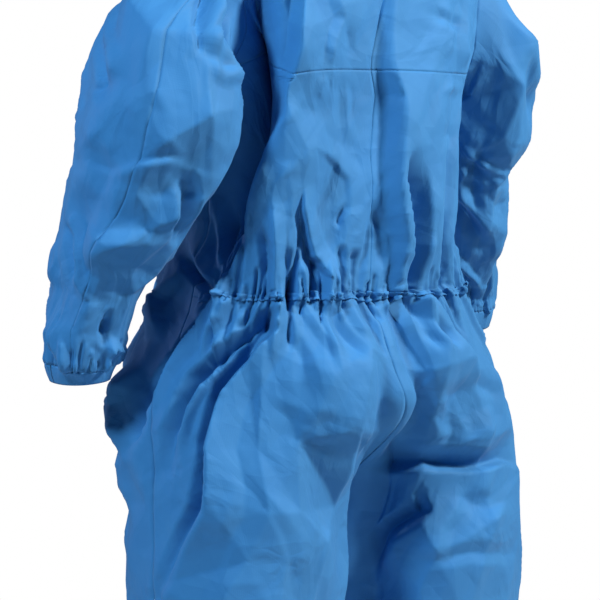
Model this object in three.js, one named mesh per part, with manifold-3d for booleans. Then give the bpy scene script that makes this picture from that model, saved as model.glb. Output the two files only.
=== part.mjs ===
// Chemical protective coverall, worn form, millimetres, +Z up, the wearer faces -Y, left hand at +X.
// The origin is on the wearer's axis, level with the shoulder points.
import * as THREE from 'three';
import { mergeVertices } from 'three/addons/utils/BufferGeometryUtils.js';
import Module from 'manifold-3d';

// ---------------------------------------------------------------- driving sizes
const WALL = 1.5;              // cloth wall
const SEAM_GAP = 0.3;          // gap between two sewn pieces
const HALF_GIRTH = 600;        // length of one unit of `around` on the body, front to back
const SLEEVE_GIRTH = 520;      // length of one unit of `around` on a sleeve
const YOKE_SEAM = -180;        // height of the seam across the shoulders
const WAIST = -450;            // height of the elastic waist
const HIP_LINE = -560;         // the two legs begin to part here
const CROTCH = -740;           // the two legs are apart from here down
const ANKLE = -1450;           // lower edge of the ankle hems
const HEM = 22;                // height of an elastic hem
const NECK = 45;               // height of the neck seam at the nape
const COLLAR = 42;             // height of the stand collar
const HEAD = 110;              // nominal length of the sleeve head
const ZIP_HALF = 4;            // half width of the zip
const ZIP_END = -640;          // lower end of the zip
const ARMHOLE = { middle: -99, half: 91, width: 0.092 };
const SLEEVE_SEAM = 0.125;      // sleeve seam down the outer back of the arm
const UNDERARM = 0.5;          // sleeve seam under the arm

// one row for each level of the body
// height, half width on the left, on the right, back depth, front depth, roundness, drop of the front
const TRUNK = [
  [45, 78, 78, 70, 64, 2.0, 68],
  [24, 122, 122, 86, 80, 2.1, 62],
  [-8, 190, 190, 104, 102, 2.4, 46],
  [-50, 218, 218, 112, 116, 2.8, 26],
  [-95, 222, 224, 116, 128, 3.0, 12],
  [-145, 204, 208, 119, 140, 3.1, 4],
  [-190, 182, 184, 119, 150, 3.0, 0],
  [-250, 176, 174, 119, 165, 2.8, 0],
  [-330, 176, 166, 127, 182, 2.6, 0],
  [-400, 184, 168, 128, 196, 2.5, 0],
  [-450, 194, 188, 121, 208, 2.3, 0],
  [-480, 207, 200, 132, 214, 2.3, 0],
  [-560, 240, 246, 164, 196, 2.3, 0],
  [-640, 254, 262, 165, 182, 2.3, 0],
  [-740, 262, 268, 150, 165, 2.3, 0],
];
// one row for each level of a leg: height, centre across, centre forward, half width, half depth
const LEG_LEFT = [
  [-560, 134, 0, 133, 140],
  [-740, 134, 5, 132, 148],
  [-800, 138, 5, 131, 145],
  [-880, 141, 5, 126, 138],
  [-1000, 145, 0, 118, 122],
  [-1200, 150, 0, 106, 106],
  [-1400, 152, 0, 92, 94],
  [-1450, 152, 0, 74, 78],
];
const LEG_RIGHT = [
  [-560, 136, 0, 135, 140],
  [-740, 138, 5, 136, 150],
  [-800, 142, 5, 135, 147],
  [-880, 145, 5, 131, 140],
  [-1000, 147, 0, 120, 124],
  [-1200, 150, 0, 106, 106],
  [-1400, 152, 0, 92, 94],
  [-1450, 152, 0, 74, 78],
];
// one row for each section of a sleeve: across, back, height, half width, half depth
const SLEEVE_LEFT = [
  [263, 24, -205, 71, 106],
  [268, 16, -245, 74, 108],
  [276, 5, -290, 72, 104],
  [288, -11, -340, 64, 86],
  [303, -37, -392, 57, 72],
  [309, -53, -445, 48, 54],
  [318, -67, -490, 44, 46],
  [318, -71, -522, 43, 45],
  [316, -73, -548, 35, 36],
];
const SLEEVE_RIGHT = [
  [262, -16, -205, 68, 98],
  [261, -43, -250, 67, 90],
  [266, -63, -292, 64, 84],
  [282, -76, -340, 62, 78],
  [301, -89, -395, 54, 62],
  [314, -98, -432, 48, 50],
  [322, -106, -464, 45, 46],
  [328, -110, -492, 44, 45],
  [332, -113, -518, 37, 38],
];
// how far the centre back seam has slipped to the left: height, share of the half girth
const BACK_SEAM = [
  [45, 0],
  [-100, 0.0],
  [-180, 0.02],
  [-300, 0.034],
  [-450, 0.045],
  [-600, 0.0],
  [-740, 0.0],
];

// folds of the body: side (1 left, -1 right), width towards the back, width towards the front,
// height (minus is a trough), then the path as [around, height] pairs
const BODY_FOLDS = [
  // centre back pleat and its trough
  [-1, 16, 9, 12, [[0.015, -110], [0.022, -180], [0.028, -270], [0.03, -340], [0.035, -410]]],
  [-1, 9, 14, -16, [[0.05, -200], [0.05, -290], [0.058, -350], [0.05, -415]]],
  // big slanted fold at the left of the back, and the hollow under the arm
  [1, 60, 24, 14, [[0.15, -60], [0.19, -150], [0.235, -230], [0.28, -300], [0.33, -370], [0.37, -430]]],
  [1, 22, 45, -26, [[0.23, -60], [0.29, -160], [0.33, -240], [0.37, -310], [0.42, -380], [0.45, -430]]],
  [-1, 40, 26, 9, [[0.12, -200], [0.13, -280], [0.13, -350]]],
  [-1, 26, 40, -16, [[0.30, -150], [0.32, -250], [0.36, -340], [0.40, -420]]],
  // gathers over and under the elastic
  [1, 12, 12, 8, [[0.10, -445], [0.12, -395]]],
  [1, 14, 14, 9, [[0.19, -445], [0.21, -380]]],
  [1, 14, 14, 9, [[0.29, -445], [0.31, -385]]],
  [1, 14, 14, 8, [[0.42, -445], [0.44, -390]]],
  [-1, 12, 12, 8, [[0.11, -445], [0.12, -400]]],
  [-1, 14, 14, 8, [[0.22, -445], [0.23, -390]]],
  [-1, 14, 14, 8, [[0.36, -445], [0.37, -385]]],
  // bloused front above the waist
  [1, 30, 30, 14, [[0.62, -130], [0.66, -260], [0.64, -400]]],
  [1, 24, 30, -16, [[0.72, -200], [0.74, -320], [0.72, -430]]],
  [1, 26, 26, 12, [[0.84, -240], [0.82, -340], [0.80, -430]]],
  [-1, 30, 30, 14, [[0.60, -120], [0.65, -240], [0.66, -390]]],
  [-1, 24, 30, -16, [[0.70, -230], [0.73, -340], [0.71, -440]]],
  [-1, 26, 26, 12, [[0.85, -200], [0.83, -320], [0.78, -430]]],
  // hips, left: the two long slanted folds of the seat
  [1, 12, 20, 12, [[0.36, -470], [0.42, -530], [0.455, -600], [0.47, -700], [0.48, -800]]],
  [1, 12, 14, -14, [[0.29, -475], [0.37, -520], [0.405, -570], [0.44, -640], [0.455, -720]]],
  [1, 14, 12, 11, [[0.25, -475], [0.33, -530], [0.375, -590], [0.40, -680], [0.42, -790]]],
  [1, 12, 12, -9, [[0.22, -480], [0.30, -520], [0.345, -570], [0.37, -640]]],
  [1, 30, 26, 14, [[0.56, -480], [0.60, -560], [0.58, -640], [0.58, -740]]],
  [1, 20, 16, -16, [[0.52, -470], [0.54, -540], [0.52, -620]]],
  // seat bulges either side of the centre valley
  [1, 50, 80, 8, [[0.11, -500], [0.10, -570], [0.14, -640]]],
  [-1, 30, 40, 8, [[0.09, -500], [0.10, -580]]],
  [-1, 22, 18, -18, [[0.0, -490], [0.02, -560], [0.03, -640], [0.05, -720]]],
  // right hip
  [-1, 14, 14, -10, [[0.09, -460], [0.14, -500], [0.17, -545]]],
  [-1, 12, 12, 8, [[0.13, -460], [0.18, -500], [0.21, -540]]],
  [-1, 10, 10, -7, [[0.17, -560], [0.18, -610], [0.19, -640]]],
  // right leg: creases across under the seat
  [-1, 22, 18, -11, [[0.04, -672], [0.12, -680], [0.22, -668], [0.34, -690]]],
  [-1, 20, 26, 9, [[0.08, -650], [0.20, -640], [0.32, -655]]],
  [-1, 24, 20, -10, [[0.02, -790], [0.07, -745], [0.12, -700]]],
  [-1, 26, 26, 10, [[0.05, -820], [0.12, -775], [0.20, -750]]],
  // front of the hips and thighs
  [1, 26, 26, 12, [[0.70, -480], [0.76, -580], [0.80, -690]]],
  [-1, 26, 26, 12, [[0.68, -480], [0.74, -590], [0.80, -700]]],
  [1, 22, 22, -12, [[0.80, -470], [0.86, -560], [0.90, -650]]],
  [-1, 22, 22, -12, [[0.78, -470], [0.84, -570], [0.90, -660]]],
  // knees and ankles
  [1, 24, 24, -12, [[0.12, -960], [0.28, -985], [0.42, -955]]],
  [1, 24, 24, 10, [[0.15, -1010], [0.30, -1030], [0.44, -1000]]],
  [-1, 24, 24, -12, [[0.08, -975], [0.24, -1000], [0.40, -975]]],
  [-1, 24, 24, 10, [[0.10, -1025], [0.26, -1045], [0.42, -1020]]],
  [1, 26, 26, 11, [[0.45, -850], [0.50, -1000], [0.48, -1150]]],
  [-1, 26, 26, 11, [[0.47, -860], [0.52, -1010], [0.50, -1160]]],
  [1, 26, 26, 10, [[0.60, -1240], [0.75, -1270], [0.90, -1250]]],
  [-1, 26, 26, 10, [[0.58, -1255], [0.73, -1285], [0.88, -1260]]],
  [1, 22, 22, -9, [[0.20, -1290], [0.35, -1320], [0.50, -1300]]],
  [-1, 22, 22, -9, [[0.18, -1275], [0.33, -1305], [0.50, -1285]]],
  [1, 22, 22, 10, [[0.15, -1350], [0.40, -1375], [0.65, -1355]]],
  [-1, 22, 22, 10, [[0.20, -1345], [0.45, -1370], [0.70, -1350]]],
];
// folds of the sleeves: side, width up the arm, width down the arm, height, path as [around, along] pairs
const SLEEVE_FOLDS = [
  [1, 22, 16, 12, [[-0.14, -70], [-0.06, -20], [0.03, 10]]],
  [1, 18, 22, -10, [[-0.12, -20], [-0.02, 30]]],
  [1, 16, 16, -12, [[0.30, -90], [0.33, -50], [0.36, -20]]],
  [1, 18, 18, 10, [[0.24, -90], [0.28, -45], [0.32, -10]]],
  [1, 14, 18, -9, [[0.36, -8], [0.28, -6], [0.22, -14]]],
  [1, 20, 16, 8, [[0.34, 105], [0.25, 112], [0.15, 128]]],
  [1, 12, 16, -14, [[0.40, 118], [0.34, 128], [0.30, 150]]],
  [1, 16, 14, 12, [[0.38, 172], [0.28, 182], [0.14, 196]]],
  [1, 14, 18, -10, [[0.12, 172], [0.20, 160], [0.30, 158]]],
  [1, 12, 12, -9, [[0.02, 190], [0.03, 215], [0.05, 240]]],
  [1, 16, 16, 8, [[-0.02, 262], [0.08, 285], [0.14, 320]]],
  [1, 12, 12, -8, [[0.30, 270], [0.24, 290], [0.22, 305]]],
  [-1, 22, 16, 12, [[-0.06, -10], [0.08, 0], [0.16, 14]]],
  [-1, 16, 20, -13, [[0.14, 96], [0.24, 108], [0.36, 112]]],
  [-1, 18, 16, 10, [[0.10, 66], [0.24, 74], [0.38, 80]]],
  [-1, 16, 20, -12, [[0.12, 190], [0.22, 170], [0.34, 160]]],
  [-1, 18, 18, 8, [[0.08, 150], [0.20, 140]]],
  [-1, 14, 16, -10, [[0.10, 282], [0.20, 250], [0.32, 240]]],
  [-1, 14, 14, 8, [[0.08, 240], [0.18, 222]]],
  [1, 20, 20, 9, [[0.62, 40], [0.74, 66], [0.88, 60]]],
  [-1, 20, 20, 9, [[0.60, 50], [0.74, 72], [0.88, 68]]],
  [1, 16, 16, -10, [[0.62, 150], [0.74, 168], [0.86, 160]]],
  [-1, 16, 16, -10, [[0.62, 140], [0.74, 160], [0.86, 150]]],
  [1, 18, 18, 8, [[0.60, 240], [0.72, 256], [0.86, 250]]],
  [-1, 18, 18, 8, [[0.60, 226], [0.72, 240], [0.86, 236]]],
];

// ---------------------------------------------------------------- small mathematics
const clamp = (t, low, high) => Math.min(high, Math.max(low, t));
const ease = (t) => t * t * (3 - 2 * t);
const mix = (a, b, t) => a + (b - a) * t;
const power = (t, n) => Math.sign(t) * Math.abs(t) ** (2 / n);

/** Rows of a table, sorted by their first column, joined by one smooth curve in every other column. */
function sampleRows(rows, key) {
  const sorted = rows[0][0] > rows[rows.length - 1][0] ? [...rows].reverse() : rows;
  const last = sorted.length - 1;
  const at = clamp(key, sorted[0][0], sorted[last][0]);
  let i = 0;
  while (i < last - 1 && at > sorted[i + 1][0]) i += 1;
  const slope = (k, c) => {
    const before = sorted[Math.max(k - 1, 0)];
    const after = sorted[Math.min(k + 1, last)];
    return (after[c] - before[c]) / (after[0] - before[0]);
  };
  const h = sorted[i + 1][0] - sorted[i][0];
  const t = (at - sorted[i][0]) / h;
  return sorted[i].map((value, c) => {
    if (c === 0) return at;
    const a = (2 * t ** 3 - 3 * t ** 2 + 1) * value;
    const b = (t ** 3 - 2 * t ** 2 + t) * h * slope(i, c);
    const d = (-2 * t ** 3 + 3 * t ** 2) * sorted[i + 1][c];
    const e = (t ** 3 - t ** 2) * h * slope(i + 1, c);
    return a + b + d + e;
  });
}

/** Outward normal of a surface f(a, b) by central differences. */
function normalOf(surface, a, b, stepA, stepB, sign) {
  const du = surface(a + stepA, b).sub(surface(a - stepA, b));
  const dv = surface(a, b + stepB).sub(surface(a, b - stepB));
  return du.cross(dv).normalize().multiplyScalar(sign);
}

/** Height added by a table of folds at one place of the cloth. */
function foldHeight(folds, side, around, along, unit, wrap) {
  let total = 0;
  for (const [foldSide, before, after, height, path] of folds) {
    if (foldSide !== side) continue;
    let nearest = Infinity;
    let place = 0;
    let turned = 0;
    for (let i = 0; i + 1 < path.length; i += 1) {
      let [au, av] = path[i];
      let [bu, bv] = path[i + 1];
      let u = around;
      if (wrap) u -= Math.round(around - (au + bu) / 2);
      const px = (u - au) * unit;
      const py = along - av;
      const dx = (bu - au) * unit;
      const dy = bv - av;
      const t = clamp((px * dx + py * dy) / (dx * dx + dy * dy), 0, 1);
      const distance = Math.hypot(px - dx * t, py - dy * t);
      if (distance < nearest) {
        nearest = distance;
        place = (i + t) / (path.length - 1);
        turned = wrap ? py - dy * t : px - dx * t;
      }
    }
    const width = turned < 0 ? before : after;
    const taper = ease(clamp(Math.min(place, 1 - place) * 4, 0, 1)) * 0.8 + 0.2;
    total += height * taper * Math.exp(-((nearest / width) ** 2));
  }
  return total;
}

// ---------------------------------------------------------------- surfaces
/** Body above the hips: `turn` is 0 at the centre back, 0.25 at the left side, 0.5 at the front. */
function trunk(turn, height) {
  const [, left, right, back, front, round, drop] = sampleRows(TRUNK, height);
  const s = Math.sin(2 * Math.PI * turn);
  const c = Math.cos(2 * Math.PI * turn);
  const x = (s >= 0 ? left : right) * power(s, round);
  const y = (c > 0 ? back : front) * power(c, round);
  return new THREE.Vector3(x, y, height - (drop * (1 - c)) / 2);
}

/** Body and leg of one side: `around` is 0 at the centre back or inseam, 0.5 at the side, 1 in front. */
function plainBody(side, around, height) {
  const slip = sampleRows(BACK_SEAM, Math.max(height, CROTCH))[1];
  const turn = (side * around) / 2 + (slip / 2) * Math.max(0, 1 - around) ** 2;
  const point = trunk(turn, Math.max(height, CROTCH));
  if (height >= HIP_LINE) return point;
  const rows = side > 0 ? LEG_LEFT : LEG_RIGHT;
  const [, across, back, halfWidth, halfDepth] = sampleRows(rows, height);
  const angle = 2 * Math.PI * around;
  const blend = ease(clamp((HIP_LINE - height) / (HIP_LINE - CROTCH), 0, 1));
  const x = across - halfWidth * Math.cos(angle);
  const y = back + halfDepth * Math.sin(angle);
  return new THREE.Vector3(
    side * mix(side * point.x, x, blend),
    mix(point.y, y, blend),
    height,
  );
}

/** Body with its folds; they fade out at the neck, the ends of the legs and the inseam. */
function body(side, around, height) {
  const plain = (a, h) => plainBody(side, a, h);
  const point = plain(around, height);
  const fade = ease(clamp((NECK - 20 - height) / 50, 0, 1)) * ease(clamp((height - ANKLE) / 60, 0, 1));
  const ends = height > HIP_LINE ? 1 : ease(clamp(Math.min(around, 1 - around) * 14, 0, 1));
  const centre = height > HIP_LINE ? ease(clamp((1 - around) * 14, 0, 1)) : 1;
  const lift = foldHeight(BODY_FOLDS, side, around, height, HALF_GIRTH, false);
  // a fold near the centre back reaches across the seam
  const across = foldHeight(BODY_FOLDS, -side, -around, height, HALF_GIRTH, false);
  const total = (lift + across) * fade * ends * centre;
  const normal = normalOf(plain, around, height, 0.002, 1, -side);
  return point.addScaledVector(normal, total);
}

/** Edge of the armhole on the body, as `around` at a height. */
function armholeAround(height, towardsFront) {
  const t = clamp((height - ARMHOLE.middle) / ARMHOLE.half, -1, 1);
  return 0.5 + (towardsFront ? 2 : -2) * ARMHOLE.width * Math.sqrt(1 - t * t);
}

/** Closed curve of the armhole: 0 shoulder, 0.25 back, 0.5 armpit, 0.75 front. */
function armhole(side, around) {
  const angle = 2 * Math.PI * around;
  const height = ARMHOLE.middle + ARMHOLE.half * Math.cos(angle);
  return body(side, 0.5 - 2 * ARMHOLE.width * Math.sin(angle), height);
}

/** Sections of a sleeve with the distance along its axis in front. */
function sleeveAxis(side) {
  const rows = side > 0 ? SLEEVE_LEFT : SLEEVE_RIGHT;
  let along = 0;
  return rows.map((row, i) => {
    if (i > 0) along += Math.hypot(row[0] - rows[i - 1][0], row[1] - rows[i - 1][1], row[2] - rows[i - 1][2]);
    return [along, ...row];
  });
}
const AXES = { '1': sleeveAxis(1), '-1': sleeveAxis(-1) };
const sleeveLength = (side) => AXES[side][AXES[side].length - 1][0];

/** One point of the tube of a sleeve below its head. */
function sleeveTube(side, around, along) {
  const axis = AXES[side];
  const [, x, y, z, halfWidth, halfDepth] = sampleRows(axis, along);
  const a = sampleRows(axis, along - 4);
  const b = sampleRows(axis, along + 4);
  const tangent = new THREE.Vector3(b[1] - a[1], b[2] - a[2], b[3] - a[3]).normalize();
  const across = new THREE.Vector3(0, 1, 0).cross(tangent).normalize();
  if (across.x < 0) across.negate();
  const back = new THREE.Vector3().crossVectors(tangent, across).normalize();
  if (back.y < 0) back.negate();
  const angle = 2 * Math.PI * around;
  const point = new THREE.Vector3(x, y, z);
  point.addScaledVector(across, halfWidth * power(Math.cos(angle), 2.2));
  point.addScaledVector(back, halfDepth * power(Math.sin(angle), 2.2));
  point.x *= side;
  tangent.x *= side;
  return { point, tangent };
}

/** How far the sleeve head is pulled outwards; `c` is 1 at the shoulder and -1 in the armpit. */
const headPull = (reach, c) => 20 + reach * (1.15 + 0.35 * c);

/** First place of the sleeve beside the armhole: 1.2 mm out at the shoulder, 3.2 mm in the armpit. */
function sleeveStart(side, around) {
  const c = Math.cos(2 * Math.PI * around);
  const reach = armhole(side, around).distanceTo(sleeveTube(side, around, 0).point);
  return -HEAD * (1 - (2.2 - c) / headPull(reach, c));
}

/** Sleeve without folds: -HEAD at the armhole, 0 at the first section, then distance down the arm. */
function plainSleeve(side, around, along) {
  if (along >= 0) return sleeveTube(side, around, along).point;
  const start = armhole(side, around);
  const { point: end, tangent } = sleeveTube(side, around, 0);
  const reach = start.distanceTo(end);
  const c = Math.cos(2 * Math.PI * around);
  const leave = new THREE.Vector3(
    side * (0.9 + 0.25 * c),
    0.1 * Math.sin(2 * Math.PI * around),
    -0.22 + 0.16 * c,
  ).normalize();
  const k = clamp(along / HEAD + 1, 0, 1);
  const point = start.multiplyScalar(2 * k ** 3 - 3 * k ** 2 + 1);
  point.addScaledVector(leave, (k ** 3 - 2 * k ** 2 + k) * headPull(reach, c));
  point.addScaledVector(end, -2 * k ** 3 + 3 * k ** 2);
  point.addScaledVector(tangent, (k ** 3 - k ** 2) * reach);
  return point;
}

/** Sleeve with its folds. */
function sleeve(side, around, along) {
  const plain = (a, t) => plainSleeve(side, a, t);
  const point = plain(around, along);
  const fade = ease(clamp((along + HEAD) / 40, 0, 1)) * ease(clamp((sleeveLength(side) - along) / 30, 0, 1));
  const lift = foldHeight(SLEEVE_FOLDS, side, around, along, SLEEVE_GIRTH, true);
  const normal = normalOf(plain, around, along, 0.004, 2, -side);
  return point.addScaledVector(normal, lift * fade);
}

/** Stand collar: `around` as on the body, `up` from the neck seam. */
function collar(side, around, up) {
  const foot = plainBody(side, around, NECK);
  const k = up / COLLAR;
  const lean = 1 - 0.07 * ease(clamp(k, 0, 1)) + 0.012 * Math.sin(9 * around + side) * k;
  return new THREE.Vector3(foot.x * lean, foot.y * lean - 4 * k, foot.z + up * (1 - 0.12 * around));
}

// ---------------------------------------------------------------- solids
const steps = (from, to, count) => Array.from({ length: count + 1 }, (_, i) => mix(from, to, i / count));

/** Closed wall over a grid of surface places; `ring` joins the last column to the first. */
function wallGeometry(rows, point, normal, ring = false, half = WALL / 2, lift = 0) {
  const across = rows[0].length;
  const positions = [];
  for (const layer of [half, -half]) {
    for (const row of rows) {
      for (const place of row) {
        const p = point(...place).addScaledVector(normal(...place), lift + layer);
        positions.push(p.x, p.y, p.z);
      }
    }
  }
  const under = rows.length * across;
  const index = [];
  const quad = (a, b, c, d) => index.push(a, b, c, a, c, d);
  const last = ring ? across : across - 1;
  for (let r = 0; r + 1 < rows.length; r += 1) {
    for (let c = 0; c < last; c += 1) {
      const a = r * across + c;
      const b = r * across + ((c + 1) % across);
      quad(a, b, b + across, a + across);
      quad(under + a, under + a + across, under + b + across, under + b);
    }
  }
  for (let c = 0; c < last; c += 1) {
    const a = c;
    const b = (c + 1) % across;
    const foot = (rows.length - 1) * across;
    quad(under + a, under + b, b, a);
    quad(foot + a, foot + b, under + foot + b, under + foot + a);
  }
  if (!ring) {
    for (let r = 0; r + 1 < rows.length; r += 1) {
      const a = r * across;
      const b = a + across - 1;
      quad(a, a + across, under + a + across, under + a);
      quad(under + b, under + b + across, b + across, b);
    }
  }
  const geometry = new THREE.BufferGeometry();
  geometry.setAttribute('position', new THREE.Float32BufferAttribute(positions, 3));
  geometry.setIndex(index);
  return outward(geometry);
}

/** Turns a closed mesh so that its faces look out. */
function outward(geometry) {
  const position = geometry.getAttribute('position');
  const index = geometry.getIndex();
  const a = new THREE.Vector3();
  const b = new THREE.Vector3();
  const c = new THREE.Vector3();
  let volume = 0;
  for (let i = 0; i < index.count; i += 3) {
    a.fromBufferAttribute(position, index.getX(i));
    b.fromBufferAttribute(position, index.getX(i + 1));
    c.fromBufferAttribute(position, index.getX(i + 2));
    volume += a.dot(b.cross(c)) / 6;
  }
  if (volume < 0) {
    for (let i = 0; i < index.count; i += 3) {
      const keep = index.getX(i + 1);
      index.setX(i + 1, index.getX(i + 2));
      index.setX(i + 2, keep);
    }
  }
  geometry.computeVertexNormals();
  return geometry;
}

// ---------------------------------------------------------------- materials
const cloth = (name, color) => {
  const material = new THREE.MeshStandardMaterial({ color, roughness: 0.7, metalness: 0 });
  material.name = name;
  return material;
};
const BLUE = cloth('nonwoven_blue', 0x4a8cc8);
const BLUE_HEM = cloth('nonwoven_blue_hem', 0x4a8cc8);
const ZIP_BLUE = cloth('zip_blue', 0x3f7fbd);

const group = new THREE.Group();
group.name = 'chemical_protective_coverall';
function add(name, geometry, material) {
  const mesh = new THREE.Mesh(geometry, material);
  mesh.name = name;
  group.add(mesh);
  return mesh;
}

// ---------------------------------------------------------------- cloth pieces
const EDGE = SEAM_GAP / 2;
const ARMHOLE_TOP = ARMHOLE.middle + ARMHOLE.half;
const ARMPIT = ARMHOLE.middle - ARMHOLE.half;

// columns of the back pieces as shares of their width, closer beside the centre pleat
const BACK_COLUMNS = [0, 0.03, 0.06, 0.1, 0.16, 0.24, 0.34, 0.45, 0.57, 0.7, 0.84, 1];
const FRONT_COLUMNS = steps(0, 1, 6);
// rows shared by every piece at that height, so that two sewn edges run side by side
const HOLE_STEPS = 8;
const HOLE_ROWS = steps(0, Math.PI, HOLE_STEPS)
  .map((angle) => ARMHOLE.middle + ARMHOLE.half * Math.cos(angle));
const YOKE_ROWS = [
  ...steps(NECK, ARMHOLE_TOP, 3).slice(0, -1),
  ...HOLE_ROWS.filter((height) => height > YOKE_SEAM),
  YOKE_SEAM,
];
const BACK_ROWS = [
  YOKE_SEAM,
  ...HOLE_ROWS.filter((height) => height < YOKE_SEAM),
  ...steps(-216, -416, 6),
  WAIST + 8,
  WAIST,
];
const LEG_ROWS = [
  WAIST, WAIST - 8, ...steps(-486, ZIP_END, 5), -690, CROTCH,
  ...steps(CROTCH - 60, ANKLE + HEM, 10),
];
/** Rows with the two at its ends drawn in to leave half a seam gap. */
const sewnRows = (rows) => rows.map((h, i) => {
  if (i === 0) return h - EDGE;
  return i === rows.length - 1 ? h + EDGE : h;
});

/** Place beside a seam at a true distance from it; `towards` is 1 or -1 and `line(around)` a surface line. */
function besideLine(line, seam, towards, distance) {
  const from = line(seam);
  let near = 0;
  let far = 0.06;
  for (let i = 0; i < 30; i += 1) {
    const middle = (near + far) / 2;
    if (line(seam + towards * middle).distanceTo(from) < distance) near = middle;
    else far = middle;
  }
  return seam + towards * far;
}
const beside = (side, seam, towards, height, distance) => besideLine(
  (around) => plainBody(side, around, height),
  seam,
  towards,
  distance,
);

/** Edge of a back or front piece at the side seam or armhole. */
function sideEdge(side, height, front) {
  const inHole = height < ARMHOLE_TOP - 0.01 && height > ARMPIT + 0.01;
  return beside(side, armholeAround(height, front), front ? 1 : -1, height, inHole ? 0.8 : EDGE);
}
/** Edge of a front piece at the zip or, under it, the centre seam and inseam. */
const zipEdge = (side, height) => beside(side, 1, -1, height, height > ZIP_END - 1 ? ZIP_HALF + SEAM_GAP : EDGE);
/** Edge of a back piece at the centre back seam or inseam. */
const backEdge = (side, height) => beside(side, 0, 1, height, EDGE);

for (const [side, word] of [[1, 'left'], [-1, 'right']]) {
  const point = (a, h) => body(side, a, h);
  const normal = (a, h) => normalOf(point, a, h, 0.003, 2, -side);
  const backRow = (h) => BACK_COLUMNS.map((share) => [mix(backEdge(side, h), sideEdge(side, h, false), share), h]);
  const frontRow = (h) => FRONT_COLUMNS.map((share) => [mix(sideEdge(side, h, true), zipEdge(side, h), share), h]);

  add(`yoke_back_${word}`, wallGeometry(sewnRows(YOKE_ROWS).map(backRow), point, normal), BLUE);
  add(`back_${word}`, wallGeometry(sewnRows(BACK_ROWS).map(backRow), point, normal), BLUE);
  add(`leg_back_${word}`, wallGeometry(sewnRows(LEG_ROWS).map(backRow), point, normal), BLUE);
  const frontRows = [...YOKE_ROWS, ...BACK_ROWS.slice(1), ...LEG_ROWS.slice(1)];
  const zipStep = frontRows.indexOf(ZIP_END);
  frontRows.splice(zipStep + 1, 0, ZIP_END - 4);
  add(`front_${word}`, wallGeometry(sewnRows(frontRows).map(frontRow), point, normal), BLUE);

  const hemColumns = [
    ...BACK_COLUMNS.slice(0, -1).map((share) => share / 2),
    ...FRONT_COLUMNS.slice(0, -1).map((share) => 0.5 + share / 2),
  ];
  const hemRows = [ANKLE + HEM - EDGE, ANKLE + HEM / 2, ANKLE];
  add(`ankle_hem_${word}`, wallGeometry(hemRows.map((h) => hemColumns.map((a) => [a, h])), point, normal, true), BLUE_HEM);

  const arm = (a, t) => sleeve(side, a, t);
  const armNormal = (a, t) => normalOf(arm, a, t, 0.004, 2, -side);
  const length = sleeveLength(side);
  const along = [...steps(-86, -20, 3), ...steps(0, length - HEM - EDGE, 10)];
  const arcs = [['back', SLEEVE_SEAM, UNDERARM, 6], ['front', UNDERARM, 1 + SLEEVE_SEAM, 10]];
  for (const [half, from, to, columns] of arcs) {
    const arcAt = (t) => {
      const line = (a) => plainSleeve(side, a, t);
      return steps(besideLine(line, from, 1, 2.2 * EDGE), besideLine(line, to, -1, 2.2 * EDGE), columns);
    };
    const rows = [arcAt(-90).map((a) => [a, sleeveStart(side, a)]), ...along.map((t) => arcAt(t).map((a) => [a, t]))];
    add(`sleeve_${half}_${word}`, wallGeometry(rows, arm, armNormal), BLUE);
  }
  const cuffColumns = arcs.flatMap(([, from, to, columns]) => steps(from, to, columns).slice(0, -1));
  const cuffRows = [length - HEM + EDGE, length - HEM / 2, length];
  add(`cuff_${word}`, wallGeometry(cuffRows.map((t) => cuffColumns.map((a) => [a, t])), arm, armNormal, true), BLUE_HEM);
}

// ---------------------------------------------------------------- collar, waist casing
const bothSides = (surface) => (a, b) => (a < 0 ? surface(-1, -a, b) : surface(1, a, b));
const mirrored = (columns) => [...columns.slice(1).reverse().map((a) => -a), ...columns];
const collarPoint = bothSides(collar);
const collarNormal = (a, up) => {
  const side = a < 0 ? -1 : 1;
  return normalOf((p, q) => collar(side, p, q), Math.abs(a), up, 0.003, 1, -side);
};
const collarOpen = 1 - beside(1, 1, -1, NECK, ZIP_HALF + 2 * SEAM_GAP);
const collarColumns = mirrored([
  ...BACK_COLUMNS.slice(0, -1).map((share) => share / 2),
  ...FRONT_COLUMNS.map((share) => mix(0.5, 1 - collarOpen, share)),
]);
const collarRows = [1.2, COLLAR / 2, COLLAR].map((up) => collarColumns.map((a) => [a, up]));
add('collar', wallGeometry(collarRows, collarPoint, collarNormal), BLUE);

const casingPoint = bothSides(body);
const casingNormal = (a, h) => {
  const side = a < 0 ? -1 : 1;
  return normalOf((p, q) => body(side, p, q), Math.abs(a), h, 0.003, 2, -side);
};
const CASING_LIFT = WALL / 2 + SEAM_GAP + 1.4;
const casingColumns = mirrored(BACK_COLUMNS.map((share) => share / 2));
const casingRows = [WAIST + 8, WAIST, WAIST - 8].map((h) => casingColumns.map((a) => [a, h]));
add('waist_elastic', wallGeometry(casingRows, casingPoint, casingNormal, false, 0.6, CASING_LIFT), BLUE_HEM);

// ---------------------------------------------------------------- zip
const zipPoint = (x, h) => {
  const up = h - NECK;
  const middle = up > 0 ? collar(1, 1, up) : body(1, 1, h);
  return new THREE.Vector3(x, middle.y, middle.z);
};
const zipNormal = (x, h) => {
  const a = zipPoint(0, h + 2);
  const b = zipPoint(0, h - 2);
  return new THREE.Vector3(0, -(a.z - b.z), a.y - b.y).normalize();
};
const zipHeights = [...steps(NECK + COLLAR, -20, 8), ...steps(-50, ZIP_END + 2, 26)];
add('zip_chain', wallGeometry(zipHeights.map((h) => [-ZIP_HALF, 0, ZIP_HALF].map((x) => [x, h])),
  zipPoint, zipNormal, false, 1), ZIP_BLUE);

const wasm = await Module();
wasm.setup();

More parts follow.
